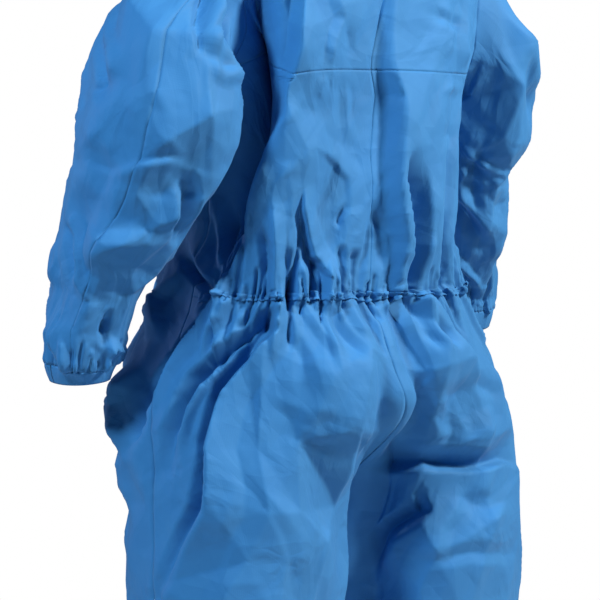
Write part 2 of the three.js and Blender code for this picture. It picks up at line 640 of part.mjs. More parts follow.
/** Closed Three.js geometry as a solid that can be joined and cut. */
function solidOf(geometry) {
  geometry.deleteAttribute('normal');
  geometry.deleteAttribute('uv');
  const merged = mergeVertices(geometry, 1e-3);
  const vertProperties = new Float32Array(merged.getAttribute('position').array);
  const triVerts = new Uint32Array(merged.getIndex().array);
  return new wasm.Manifold(new wasm.Mesh({ numProp: 3, vertProperties, triVerts }));
}

/** Solid as a Three.js geometry. */
function geometryOf(solid) {
  const mesh = solid.getMesh();
  const geometry = new THREE.BufferGeometry();
  geometry.setAttribute('position', new THREE.Float32BufferAttribute(mesh.vertProperties, 3));
  geometry.setIndex(Array.from(mesh.triVerts));
  return outward(geometry);
}

/** Rounded rectangle around [0, middle]. */
function roundedShape(width, height, radius, middle = 0) {
  const shape = new THREE.Shape();
  const corners = [[1, 1, 0], [-1, 1, 0.5], [-1, -1, 1], [1, -1, 1.5]];
  for (const [sx, sy, from] of corners) {
    const x = sx * (width / 2 - radius);
    const y = middle + sy * (height / 2 - radius);
    shape.absarc(x, y, radius, from * Math.PI, (from + 0.5) * Math.PI);
  }
  return shape;
}

/** Plate of a shape [across, up], standing in the plane of the zip, its middle at `y`. */
function standingPlate(shape, thick, y, z) {
  const plate = new THREE.ExtrudeGeometry(shape, { depth: thick, bevelEnabled: false, curveSegments: 3 });
  return plate.translate(0, 0, -thick / 2).rotateX(Math.PI / 2).translate(0, y, z);
}

// slider on the chain near the top of the collar, with an arch that holds the pull tab
const SLIDER = { width: 9, height: 11, thick: 2, archWidth: 2.2, archBar: 1.3, window: 3.2, sunk: 0.3 };
const sliderPlace = zipPoint(0, NECK + COLLAR - 12);
const sliderFace = sliderPlace.y - 2 - SEAM_GAP;
const plateMiddle = sliderFace - SLIDER.thick / 2;
const plate = standingPlate(roundedShape(SLIDER.width, SLIDER.height, 2), SLIDER.thick, plateMiddle, sliderPlace.z);
const archOut = SLIDER.window + SLIDER.archBar + SLIDER.sunk;
const archHigh = SLIDER.window + 2 * SLIDER.archBar;
const windowMiddle = sliderFace - SLIDER.thick - SLIDER.window / 2;
const arch = new THREE.BoxGeometry(SLIDER.archWidth, archOut, archHigh)
  .translate(0, sliderFace - SLIDER.thick - archOut / 2 + SLIDER.sunk, sliderPlace.z);
const archWindow = new THREE.BoxGeometry(SLIDER.archWidth + 2, SLIDER.window, SLIDER.window)
  .translate(0, windowMiddle, sliderPlace.z);
const slider = solidOf(plate).add(solidOf(arch).subtract(solidOf(archWindow)));
add('zip_slider', geometryOf(slider), ZIP_BLUE);

// pull tab: a flat tab whose top bar passes through the arch and turns in it
const TAB = { width: 7.2, length: 27, thick: 1.1, bar: 1.3, slotWidth: 3.4, slotHeight: 5.4, corner: 2 };
const tabShape = roundedShape(TAB.width, TAB.length, TAB.corner, TAB.bar / 2 - TAB.length / 2);
tabShape.holes.push(roundedShape(TAB.slotWidth, TAB.slotHeight, 0.6, -TAB.bar / 2 - TAB.slotHeight / 2));
const tab = standingPlate(tabShape, TAB.thick, windowMiddle, sliderPlace.z);
add('zip_pull_tab', geometryOf(solidOf(tab)), ZIP_BLUE);

export default group;
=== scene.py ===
"""Chemical protective coverall in worn form: cloth panels, seams, elastic, zip and a plain studio."""

import functools  # noqa: E402
import logging  # noqa: E402
import math  # noqa: E402
from dataclasses import dataclass, field  # noqa: E402
from enum import Enum  # noqa: E402
from typing import Callable, Sequence  # noqa: E402

import bpy  # noqa: E402
import numpy as np  # noqa: E402
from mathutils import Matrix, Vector  # noqa: E402


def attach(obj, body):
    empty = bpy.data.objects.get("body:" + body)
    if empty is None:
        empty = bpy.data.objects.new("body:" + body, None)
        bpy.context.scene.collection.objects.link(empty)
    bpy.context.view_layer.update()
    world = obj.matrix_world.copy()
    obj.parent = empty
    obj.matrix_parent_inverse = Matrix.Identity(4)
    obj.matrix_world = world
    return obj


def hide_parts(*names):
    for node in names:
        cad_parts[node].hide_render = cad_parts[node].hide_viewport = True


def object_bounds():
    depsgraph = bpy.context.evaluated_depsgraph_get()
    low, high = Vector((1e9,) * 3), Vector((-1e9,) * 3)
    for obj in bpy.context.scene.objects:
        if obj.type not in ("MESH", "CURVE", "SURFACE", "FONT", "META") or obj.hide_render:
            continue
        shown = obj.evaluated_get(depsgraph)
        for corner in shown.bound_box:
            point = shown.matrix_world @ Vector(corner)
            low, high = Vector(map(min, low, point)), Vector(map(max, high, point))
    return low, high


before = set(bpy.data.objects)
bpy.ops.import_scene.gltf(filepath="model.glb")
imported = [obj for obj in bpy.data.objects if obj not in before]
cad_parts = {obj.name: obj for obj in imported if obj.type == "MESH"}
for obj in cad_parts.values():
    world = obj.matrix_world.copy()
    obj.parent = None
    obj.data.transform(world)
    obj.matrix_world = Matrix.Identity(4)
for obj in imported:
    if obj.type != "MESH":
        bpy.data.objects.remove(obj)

log = logging.getLogger("coverall")
Array = np.ndarray
Surface = Callable[[Array, Array], Array]

CAD_BOX = [list(corner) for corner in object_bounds()]
BODY = "coverall"
MM = 0.001

# ---------------------------------------------------------------- driving sizes, millimetres
CLOTH = 0.6            # thickness of a shell
SEAM_GAP = 0.3         # gap between two sewn solids
SEAM_LINE = 0.04       # gap left between two sewn shells
HALF_GIRTH = 600.0     # length of one unit of `around` on the body, centre back to centre front
SLEEVE_GIRTH = 520.0   # length of one unit of `around` on a sleeve
NECK = 45.0
YOKE_SEAM = -180.0
WAIST = -450.0
HIP_LINE = -560.0
CROTCH = -740.0
ANKLE = -1450.0
HEM = 22.0
COLLAR = 42.0
HEAD = 110.0
ZIP_HALF = 4.0
ZIP_END = -640.0
HOLE_MIDDLE = -99.0    # height of the middle of an armhole
HOLE_HALF = 91.0
HOLE_WIDTH = 0.092     # half width of an armhole, as a share of the whole girth
SLEEVE_SEAM = 0.125    # seams of a sleeve, as `around`
UNDERARM = 0.5
BOLDNESS = 1.5         # scale on the heights of the creases in the tables
RISE = 7.0             # most that a corner of a large facet stands out or in
FINE = 1.9             # the same for a small facet
SAG_BODY = 1.5         # how far out the corners are set, so that the flat facets keep the girth
SAG_SLEEVE = 3.0
STRETCH = (1.2, 0.75)  # scale of the body's large facets across and along
CORNERS = 64           # side of the table of drawn corners, which repeats
ROW = 0.866            # height of an even triangle, as a share of its side
FAR = 1e9
CREST_ROUND = 0.003    # rounding of a sharp crest, as a share of the width squared
CREST_DROP = 0.055     # what the rounding takes off its top
CREST_WIDTH = 1.4      # foot of a sharp crest, in widths
BODY_STEPS = (0.002, 1.0)      # steps of a difference across in `around` and along in millimetres
SLEEVE_STEPS = (0.004, 2.0)
LEFT, RIGHT = 1, -1
WORD = {LEFT: "left", RIGHT: "right"}
UPRIGHT = np.array([1.0, 1.0, 0.0])    # leaves out the height
HOLE_PLACES = np.linspace(0, 1, 361)


# ---------------------------------------------------------------- small mathematics
def ease(t: Array) -> Array:
    """Smooth step from 0 to 1 for t from 0 to 1."""
    t = np.clip(t, 0.0, 1.0)
    return t * t * (3.0 - 2.0 * t)


def mix(a: Array, b: Array, t: Array) -> Array:
    """Value between a and b at share t."""
    return a + (b - a) * t


def power(t: Array, roundness: Array) -> Array:
    """Coordinate of a superellipse with that roundness, 2 for an ellipse."""
    return np.sign(t) * np.abs(t) ** (2.0 / roundness)


def unit(v: Array) -> Array:
    """Vectors along the last axis at length 1."""
    return v / np.maximum(np.linalg.norm(v, axis=-1, keepdims=True), 1e-9)


def smooth(t: Array, start: Array, leave: Array, end: Array, arrive: Array) -> Array:
    """Curve from start to end that leaves and arrives with the given slopes, at share t."""
    return ((2 * t**3 - 3 * t**2 + 1) * start + (t**3 - 2 * t**2 + t) * leave
            + (-2 * t**3 + 3 * t**2) * end + (t**3 - t**2) * arrive)


def as_grids(a: Array, b: Array) -> tuple[Array, Array]:
    """Two arrays of numbers, spread to one shape."""
    return tuple(np.broadcast_arrays(np.asarray(a, float), np.asarray(b, float)))


class Rows:
    """Rows of a table, keyed by their first column, joined by one smooth curve in every other column."""

    def __init__(self, rows: Sequence[Sequence[float]]) -> None:
        """Sort the rows and find the slope at each.

        Args:
            rows: the table, one row for each level.
        """
        table = np.array(sorted(rows), float)
        self.keys = table[:, 0]
        self.values = table[:, 1:]
        before = np.vstack([table[:1], table[:-1]])
        after = np.vstack([table[1:], table[-1:]])
        self.slopes = (after[:, 1:] - before[:, 1:]) / (after[:, :1] - before[:, :1])

    def at(self, key: Array) -> list[Array]:
        """Every column at the given keys.

        Args:
            key: places along the table, of any shape.

        Returns:
            One array of that shape for each column after the first.
        """
        key = np.clip(np.asarray(key, float), self.keys[0], self.keys[-1])
        i = np.clip(np.searchsorted(self.keys, key, side="left") - 1, 0, len(self.keys) - 2)
        h = self.keys[i + 1] - self.keys[i]
        t = ((key - self.keys[i]) / h)[..., None]
        h = h[..., None]
        columns = smooth(t, self.values[i], h * self.slopes[i], self.values[i + 1], h * self.slopes[i + 1])
        return [columns[..., c] for c in range(columns.shape[-1])]


def normals(surface: Surface, a: Array, b: Array, steps: tuple[float, float], sign: float) -> Array:
    """Outward normals of a surface by central differences.

    Args:
        surface: gives points from the two places.
        a: places across.
        b: places along.
        steps: steps of the differences across and along.
        sign: 1 or -1, so that the normals look out.

    Returns:
        Unit vectors in the shape of the points.
    """
    du = surface(a + steps[0], b) - surface(a - steps[0], b)
    dv = surface(a, b + steps[1]) - surface(a, b - steps[1])
    return unit(np.cross(du, dv)) * sign


class Facets:
    """Flat facets with straight creases between them, as stiff paper-like cloth has after being handled."""

    def __init__(self, seed: int, size: float, jitter: float = 0.32) -> None:
        """Draw the facets' corners.

        Args:
            seed: seed of the draw.
            size: side of a facet in millimetres.
            jitter: how far a corner leaves its even place, as a share of the side.
        """
        draw = np.random.default_rng(seed)
        self.height = draw.uniform(-1.0, 1.0, (CORNERS, CORNERS))
        self.moved = draw.uniform(-jitter, jitter, (CORNERS, CORNERS, 2))
        self.size = size

    def corner(self, i: Array, j: Array) -> tuple[Array, Array]:
        """Place of a corner, in millimetres."""
        moved = self.moved[i % CORNERS, j % CORNERS]
        return (i + 0.5 * j + moved[..., 0]) * self.size, (ROW * j + moved[..., 1]) * self.size

    def find(self, x: Array, y: Array) -> list[tuple[Array, Array, Array]]:
        """The three corners of the facet over each place.

        Args:
            x: places across in millimetres.
            y: places along in millimetres.

        Returns:
            For each corner its two numbers and its share.
        """
        level = y / (ROW * self.size)
        i = np.floor(x / self.size - 0.5 * level).astype(int)
        j = np.floor(level).astype(int)
        shape = np.shape(x)
        best = np.full(shape, -FAR)
        chosen = [[np.zeros(shape, int), np.zeros(shape, int), np.zeros(shape)] for _ in range(3)]
        for di in (-1, 0, 1):
            for dj in (-1, 0, 1):
                for triple in (((0, 0), (1, 0), (0, 1)), ((1, 1), (0, 1), (1, 0))):
                    ends = [(i + di + m, j + dj + n) for m, n in triple]
                    (ax, ay), (bx, by), (cx, cy) = [self.corner(*end) for end in ends]
                    whole = (bx - ax) * (cy - ay) - (cx - ax) * (by - ay)
                    second = ((x - ax) * (cy - ay) - (cx - ax) * (y - ay)) / whole
                    third = ((bx - ax) * (y - ay) - (x - ax) * (by - ay)) / whole
                    shares = (1 - second - third, second, third)
                    least = np.minimum(np.minimum(shares[0], second), third)
                    better = least > best
                    best = np.where(better, least, best)
                    for kept, end, share in zip(chosen, ends, shares):
                        for k, value in enumerate((*end, share)):
                            kept[k] = np.where(better, value, kept[k])
        return [tuple(kept) for kept in chosen]

    def at(self, x: Array, y: Array) -> Array:
        """Height from -1 to 1 at each place."""
        return sum(self.height[i % CORNERS, j % CORNERS] * share for i, j, share in self.find(x, y))

    def lay(self, raised: Callable[[Array, Array, Array], Array]) -> Array:
        """Points of all the corners.

        Args:
            raised: gives a point from the place across, the place along and the height from -1 to 1.

        Returns:
            The points, a table of CORNERS by CORNERS by 3.
        """
        numbers = np.arange(-CORNERS // 2, CORNERS // 2)
        i, j = np.meshgrid(numbers, numbers, indexing="ij")
        x, y = self.corner(i, j)
        i, j = i % CORNERS, j % CORNERS
        table = np.zeros((CORNERS, CORNERS, 3))
        table[i, j] = raised(x, y, self.height[i, j])
        return table

    def over(self, table: Array, x: Array, y: Array) -> Array:
        """Points on the flat facets between the corners that `lay` gave."""
        return sum(table[i % CORNERS, j % CORNERS] * share[..., None] for i, j, share in self.find(x, y))


# ---------------------------------------------------------------- creases
class Profile(Enum):
    """Shape of a crease across its line."""

    SOFT = "round roll"
    CRISP = "sharp crest"

    def shape(self, share: Array) -> Array:
        """Height from 0 to 1 at a distance from the line, given as a share of the width."""
        if self is Profile.SOFT:
            return np.exp(-(share**2))
        return np.clip(1.0 - (np.sqrt(share**2 + CREST_ROUND) - CREST_DROP) / CREST_WIDTH, 0.0, 1.0)


@dataclass(frozen=True)
class Crease:
    """One ridge or trough of the cloth along a line.

    `rear` is its width on the side towards the back, or above where it runs across, and `fore` on the other
    side. A negative height is a trough. `grip` is how much of the height is left at its two ends.
    """

    side: int
    rear: float
    fore: float
    height: float
    path: tuple[tuple[float, float], ...]
    profile: Profile = Profile.SOFT
    grip: tuple[float, float] = (0.1, 0.1)

    def lift(self, around: Array, along: Array, scale: float, wrap: bool) -> Array:
        """Height that the crease adds at each place.

        Args:
            around: signed places around, left positive on the body.
            along: heights or distances along, in millimetres.
            scale: millimetres of one unit of `around`.
            wrap: whether `around` is an angle that closes on itself.

        Returns:
            The added height in millimetres.
        """
        turn = self.side if not wrap else 1
        steep = abs(self.path[-1][0] - self.path[0][0]) * scale < abs(self.path[-1][1] - self.path[0][1])
        nearest = np.full(around.shape, FAR)
        place = np.zeros(around.shape)
        beyond = np.zeros(around.shape, bool)
        last = len(self.path) - 1
        for i in range(last):
            (au, av), (bu, bv) = self.path[i], self.path[i + 1]
            u = around * turn
            if wrap:
                u = u - np.round(u - (au + bu) / 2)
            px = (u - au) * scale
            py = along - av
            dx = (bu - au) * scale
            dy = bv - av
            t = np.clip((px * dx + py * dy) / (dx * dx + dy * dy), 0.0, 1.0)
            offset_x = px - dx * t
            offset_y = py - dy * t
            distance = np.hypot(offset_x, offset_y)
            closer = distance < nearest
            nearest = np.where(closer, distance, nearest)
            place = np.where(closer, (i + t) / last, place)
            beyond = np.where(closer, offset_x > 0 if steep else offset_y < 0, beyond)
        share = nearest / np.where(beyond, self.fore, self.rear)
        start, end = self.grip
        taper = mix(start, 1.0, ease(place * 3.0)) * mix(end, 1.0, ease((1.0 - place) * 3.0))
        return self.height * taper * self.profile.shape(share)


@dataclass
class CreaseSet:
    """Creases that one surface carries."""

    creases: list[Crease]
    scale: float
    wrap: bool

    def lift(self, around: Array, along: Array) -> Array:
        """Sum of the creases' heights at each place."""
        around, along = as_grids(around, along)
        total = np.zeros(around.shape)
        for crease in self.creases:
            path = np.array(crease.path)
            low, high = path.min(axis=0), path.max(axis=0)
            reach = 3.0 * max(crease.rear, crease.fore)
            off = around * (1 if self.wrap else crease.side) - (low[0] + high[0]) / 2
            if self.wrap:
                off = off - np.round(off)
            near = np.abs(off) * self.scale < (high[0] - low[0]) / 2 * self.scale + reach
            near &= (along > low[1] - reach) & (along < high[1] + reach)
            if near.any():
                total[near] += crease.lift(around[near], along[near], self.scale, self.wrap)
        return total


S, C = Profile.SOFT, Profile.CRISP

# side, width to the rear or above, width to the front or below, height, path, profile, grip
BACK_CREASES = [
    # centre back pleat: a slope that rises to a sharp crest, and the dark step behind it to the right panel
    (RIGHT, 5, 80, 20, ((0.006, -60), (0.020, -174), (0.026, -240), (0.028, -293), (0.034, -330),
     (0.046, -384), (0.052, -446)), C, (0.4, 0.8)),
    (RIGHT, 4, 14, -22, ((0.044, -272), (0.048, -312), (0.062, -351), (0.072, -397), (0.076, -446)), C, (0.0, 0.9)),
    (RIGHT, 7, 7, 6, ((0.020, -360), (0.030, -400), (0.026, -446)), C, (0.0, 0.9)),
    (RIGHT, 6, 6, -5, ((0.002, -343), (0.020, -371), (0.030, -440)), C, (0.2, 0.9)),
    (RIGHT, 6, 6, -4, ((0.050, -395), (0.056, -420), (0.052, -446)), C, (0.1, 0.8)),
    # light crown of the right panel, and its fall to the arm
    (RIGHT, 16, 22, 5, ((0.100, -200), (0.120, -275), (0.115, -336), (0.128, -400)), C, (0.3, 0.5)),
    (RIGHT, 10, 14, -5, ((0.150, -230), (0.160, -300), (0.150, -350), (0.168, -440)), C, (0.0, 0.9)),
    (RIGHT, 20, 7, 6, ((0.205, -200), (0.200, -270), (0.205, -340), (0.190, -390), (0.205, -440)), C, (0.3, 0.7)),
    (RIGHT, 26, 40, -16, ((0.30, -150), (0.31, -250), (0.34, -340), (0.38, -420)), S),
    (RIGHT, 6, 6, -4, ((0.165, -345), (0.160, -380), (0.175, -440)), C, (0.1, 0.9)),
    (RIGHT, 8, 8, 2.5, ((0.10, -205), (0.14, -196), (0.20, -200)), C),
    (RIGHT, 10, 10, -2.5, ((0.10, -262), (0.15, -256), (0.21, -262)), C),
    # left panel: long slanted edge over the hollow beside the arm
    (LEFT, 75, 6, 24, ((0.14, -40), (0.15, -99), (0.178, -152), (0.222, -198), (0.236, -234), (0.287, -276),
     (0.326, -334), (0.336, -382), (0.375, -440)), C, (0.5, 0.5)),
    (LEFT, 18, 50, -48, ((0.21, -40), (0.24, -100), (0.275, -170), (0.31, -240), (0.37, -310), (0.41, -370),
     (0.43, -430)), S, (0.6, 0.2)),
    (LEFT, 12, 14, 9, ((0.290, -70), (0.282, -115), (0.250, -172)), S),
    (LEFT, 10, 7, 9, ((0.50, -330), (0.450, -396), (0.400, -436)), C, (0.1, 0.0)),
    (LEFT, 9, 7, 9, ((0.465, -318), (0.415, -392), (0.380, -436)), C, (0.1, 0.0)),
    # left side in front of the hollow: crinkles that only the edge light finds
    (LEFT, 26, 5, 9, ((0.61, -395), (0.57, -436), (0.60, -478), (0.57, -522)), C, (0.2, 0.2)),
    (LEFT, 20, 5, 8, ((0.67, -415), (0.62, -455), (0.65, -500), (0.60, -548)), C, (0.2, 0.2)),
    (LEFT, 5, 22, 8, ((0.54, -425), (0.59, -462), (0.55, -505)), C, (0.3, 0.2)),
    (LEFT, 14, 5, 7, ((0.53, -385), (0.49, -415), (0.43, -447)), C, (0.2, 0.0)),
    (LEFT, 9, 5, -9, ((0.56, -400), (0.50, -430), (0.43, -449)), C, (0.2, 0.0)),
    (LEFT, 8, 8, -9, ((0.480, -330), (0.430, -400), (0.382, -444)), C, (0.1, 0.8)),
    # left panel: the straight crease down its light part, and the fall beside it
    (LEFT, 60, 30, 6, ((0.222, -184), (0.232, -234), (0.240, -300), (0.240, -391), (0.235, -440)), C, (0.6, 0.3)),
    (LEFT, 16, 4, 7, ((0.176, -310), (0.175, -346), (0.138, -400), (0.096, -424), (0.100, -446)), C, (0.0, 0.7)),
    (LEFT, 4, 10, -7, ((0.188, -318), (0.186, -350), (0.150, -402), (0.110, -426), (0.112, -446)), C, (0.0, 0.8)),
    (LEFT, 16, 4, 3, ((0.175, -271), (0.124, -279), (0.084, -290), (0.052, -309), (0.038, -365)), C, (0.1, 0.1)),
    (LEFT, 5, 5, -4, ((0.050, -338), (0.072, -356), (0.068, -368)), C),
    (LEFT, 12, 6, 8, ((0.262, -330), (0.250, -381), (0.236, -446)), C, (0.1, 0.9)),
    (LEFT, 6, 9, -9, ((0.290, -360), (0.270, -400), (0.262, -446)), C, (0.1, 0.9)),
    (LEFT, 9, 6, -8, ((0.226, -380), (0.214, -420), (0.204, -446)), C, (0.1, 1.0)),
    (LEFT, 6, 12, 8, ((0.172, -400), (0.160, -425), (0.158, -446)), C, (0.0, 1.0)),
    (LEFT, 6, 8, -8, ((0.128, -400), (0.136, -424), (0.140, -446)), C, (0.0, 1.0)),
    (LEFT, 8, 6, -7, ((0.068, -385), (0.062, -412), (0.060, -446)), C, (0.0, 1.0)),
    (LEFT, 7, 7, -7, ((0.034, -390), (0.030, -415), (0.036, -446)), C, (0.0, 1.0)),
    (LEFT, 8, 8, 2.5, ((0.06, -186), (0.055, -230), (0.04, -275)), C),
    (LEFT, 8, 8, 2, ((0.12, -184), (0.135, -215)), C),
    # yoke
    (LEFT, 22, 8, 6, ((0.100, -70), (0.068, -122), (0.095, -156), (0.100, -178)), C, (0.5, 0.3)),
    (LEFT, 8, 8, -3, ((0.062, -128), (0.058, -150), (0.046, -168)), C),
    (RIGHT, 8, 8, -4, ((0.05, -108), (0.11, -118), (0.19, -122)), C),
    (RIGHT, 24, 9, 4, ((0.09, -90), (0.12, -130), (0.10, -176)), C),
    (RIGHT, 16, 8, 4, ((0.20, -100), (0.18, -140), (0.20, -176)), C),
    # front, above the waist
    (LEFT, 30, 30, 14, ((0.62, -130), (0.66, -260), (0.64, -400)), S),
    (LEFT, 24, 30, -16, ((0.72, -200), (0.74, -320), (0.72, -430)), S),
    (LEFT, 26, 26, 12, ((0.84, -240), (0.82, -340), (0.80, -430)), S),
    (RIGHT, 30, 30, 14, ((0.60, -120), (0.65, -240), (0.66, -390)), S),
    (RIGHT, 24, 30, -16, ((0.70, -230), (0.73, -340), (0.71, -440)), S),
    (RIGHT, 26, 26, 12, ((0.85, -200), (0.83, -320), (0.78, -430)), S),
]
HIP_CREASES = [
    # left: the long slanted folds from the waist to the thigh, each a crest with a trough under it
    (LEFT, 26, 6, 12, ((0.385, -450), (0.455, -504), (0.500, -560), (0.520, -600), (0.550, -645)), C, (0.9, 0.1)),
    (LEFT, 7, 9, -20, ((0.41, -452), (0.482, -508), (0.516, -561), (0.530, -602), (0.550, -640)), C, (0.8, 0.1)),
    (LEFT, 7, 22, 12, ((0.225, -470), (0.300, -500), (0.355, -520), (0.398, -545), (0.425, -570),
     (0.450, -610), (0.455, -640)), C, (0.7, 0.2)),
    (LEFT, 8, 8, -22, ((0.245, -476), (0.322, -505), (0.372, -524), (0.414, -546), (0.440, -570),
     (0.464, -608), (0.470, -650)), C, (0.8, 0.1)),
    (LEFT, 22, 6, 13, ((0.222, -482), (0.262, -500), (0.345, -550), (0.358, -565), (0.380, -614),
     (0.400, -690), (0.440, -742), (0.475, -800)), C, (0.7, 0.3)),
    (LEFT, 7, 9, -19, ((0.240, -489), (0.280, -504), (0.360, -554), (0.372, -570), (0.394, -618),
     (0.414, -692), (0.452, -744), (0.486, -805)), C, (0.9, 0.2)),
    (LEFT, 6, 6, -6, ((0.285, -462), (0.300, -482), (0.330, -490)), C),
    (LEFT, 7, 7, 7, ((0.345, -458), (0.365, -480), (0.400, -498)), C, (0.9, 0.1)),
    (LEFT, 30, 26, 12, ((0.56, -480), (0.60, -560), (0.58, -640), (0.58, -740)), S),
    (LEFT, 22, 5, 9, ((0.65, -535), (0.59, -568), (0.61, -608), (0.57, -642)), C, (0.2, 0.2)),
    (LEFT, 5, 20, 8, ((0.56, -540), (0.60, -590), (0.56, -650)), C, (0.2, 0.2)),
    (LEFT, 12, 5, 7, ((0.66, -620), (0.60, -660), (0.58, -720)), C, (0.2, 0.2)),
    # seat: the left one stands over the valley
    (LEFT, 9, 60, 8, ((0.035, -492), (0.038, -530), (0.046, -560), (0.062, -600), (0.085, -645)), C, (0.2, 0.4)),
    (LEFT, 50, 80, 6, ((0.12, -500), (0.12, -570), (0.16, -640)), S),
    (LEFT, 22, 9, 4, ((0.200, -470), (0.160, -520), (0.150, -575)), C, (0.6, 0.1)),
    (LEFT, 9, 10, -5, ((0.105, -470), (0.078, -502), (0.050, -528)), C, (0.6, 0.1)),
    (LEFT, 12, 9, 4, ((0.155, -462), (0.130, -490), (0.085, -530)), C, (0.6, 0.1)),
    (LEFT, 8, 8, 4, ((0.05, -455), (0.042, -478), (0.026, -505)), C, (0.8, 0.1)),
    (LEFT, 20, 9, 2.5, ((0.26, -560), (0.19, -580), (0.10, -572)), C),
    (LEFT, 9, 9, -2, ((0.24, -606), (0.17, -622), (0.12, -612)), C),
    (RIGHT, 8, 22, -17, ((0.034, -474), (0.030, -510), (0.026, -542), (0.028, -578), (0.024, -628),
     (0.040, -655)), C, (0.5, 0.4)),
    (RIGHT, 30, 40, 8, ((0.10, -500), (0.11, -580)), S),
    # right hip
    (RIGHT, 8, 8, -7, ((0.055, -456), (0.080, -478), (0.105, -505), (0.120, -530)), C, (0.6, 0.1)),
    (RIGHT, 20, 8, 6, ((0.120, -456), (0.128, -500), (0.160, -540), (0.190, -570)), C, (0.6, 0.1)),
    (RIGHT, 8, 9, -5, ((0.140, -458), (0.150, -500), (0.175, -536)), C, (0.6, 0.1)),
    (RIGHT, 9, 9, -4, ((0.17, -553), (0.195, -568), (0.25, -583)), C),
    (RIGHT, 8, 8, -4, ((0.125, -605), (0.138, -650)), C),
    (RIGHT, 16, 8, 4, ((0.200, -590), (0.210, -636)), C),
    (RIGHT, 18, 8, 3, ((0.075, -560), (0.105, -600), (0.10, -650)), C),
    (RIGHT, 14, 9, 3, ((0.24, -520), (0.26, -580), (0.24, -640)), C),
    # between the legs: the cloth of the right leg falls away from the seam under the seat
    (RIGHT, 30, 56, -25, ((0.030, -645), (0.026, -700), (0.030, -760), (0.040, -830)), S, (0.4, 1.0)),
    (LEFT, 60, 60, -12, ((0.11, -650), (0.17, -710), (0.21, -800), (0.21, -900)), S, (0.1, 1.0)),
    # right leg: creases across under the seat
    (RIGHT, 24, 5, -14, ((0.004, -668), (0.045, -677), (0.115, -664), (0.200, -668), (0.290, -664),
     (0.36, -680)), C, (0.4, 0.1)),
    (RIGHT, 26, 9, 6, ((0.06, -648), (0.13, -640), (0.28, -648)), C),
    (RIGHT, 12, 8, -15, ((0.130, -700), (0.138, -718), (0.070, -762), (0.035, -815)), C, (0.3, 0.2)),
    (RIGHT, 9, 26, 7, ((0.160, -722), (0.100, -765), (0.060, -815)), C, (0.3, 0.2)),
    (RIGHT, 12, 9, -4, ((0.19, -700), (0.25, -720), (0.33, -712)), C),
    (RIGHT, 24, 9, 5, ((0.22, -690), (0.17, -740), (0.16, -800)), C),
    (RIGHT, 12, 9, -4, ((0.10, -785), (0.22, -775), (0.34, -790)), C),
    # left leg
    (LEFT, 36, 9, 3.5, ((0.33, -640), (0.27, -720), (0.25, -820)), C),
    (LEFT, 9, 9, -3, ((0.14, -800), (0.12, -850)), C),
    (LEFT, 30, 12, 3, ((0.17, -690), (0.20, -760), (0.18, -840)), C),
    # front of the hips and thighs
    (LEFT, 26, 26, 12, ((0.70, -480), (0.76, -580), (0.80, -690)), S),
    (RIGHT, 26, 26, 12, ((0.68, -480), (0.74, -590), (0.80, -700)), S),
    (LEFT, 22, 22, -12, ((0.80, -470), (0.86, -560), (0.90, -650)), S),
    (RIGHT, 22, 22, -12, ((0.78, -470), (0.84, -570), (0.90, -660)), S),
]
LEG_CREASES = [
    (LEFT, 24, 24, -12, ((0.12, -960), (0.28, -985), (0.42, -955)), S),
    (LEFT, 18, 24, 10, ((0.15, -1010), (0.30, -1030), (0.44, -1000)), C),
    (RIGHT, 24, 24, -12, ((0.08, -975), (0.24, -1000), (0.40, -975)), S),
    (RIGHT, 18, 24, 10, ((0.10, -1025), (0.26, -1045), (0.42, -1020)), C),
    (LEFT, 20, 26, 11, ((0.45, -850), (0.50, -1000), (0.48, -1150)), C),
    (RIGHT, 20, 26, 11, ((0.47, -860), (0.52, -1010), (0.50, -1160)), C),
    (LEFT, 20, 26, 10, ((0.60, -1240), (0.75, -1270), (0.90, -1250)), C),
    (RIGHT, 20, 26, 10, ((0.58, -1255), (0.73, -1285), (0.88, -1260)), C),
    (LEFT, 22, 22, -9, ((0.20, -1290), (0.35, -1320), (0.50, -1300)), S),
    (RIGHT, 22, 22, -9, ((0.18, -1275), (0.33, -1305), (0.50, -1285)), S),
    (LEFT, 16, 22, 10, ((0.15, -1350), (0.40, -1375), (0.65, -1355)), C),
    (RIGHT, 16, 22, 10, ((0.20, -1345), (0.45, -1370), (0.70, -1350)), C),
    (LEFT, 12, 18, -6, ((0.70, -860), (0.80, -900), (0.92, -890)), C),
    (RIGHT, 12, 18, -6, ((0.70, -870), (0.80, -910), (0.92, -900)), C),
]
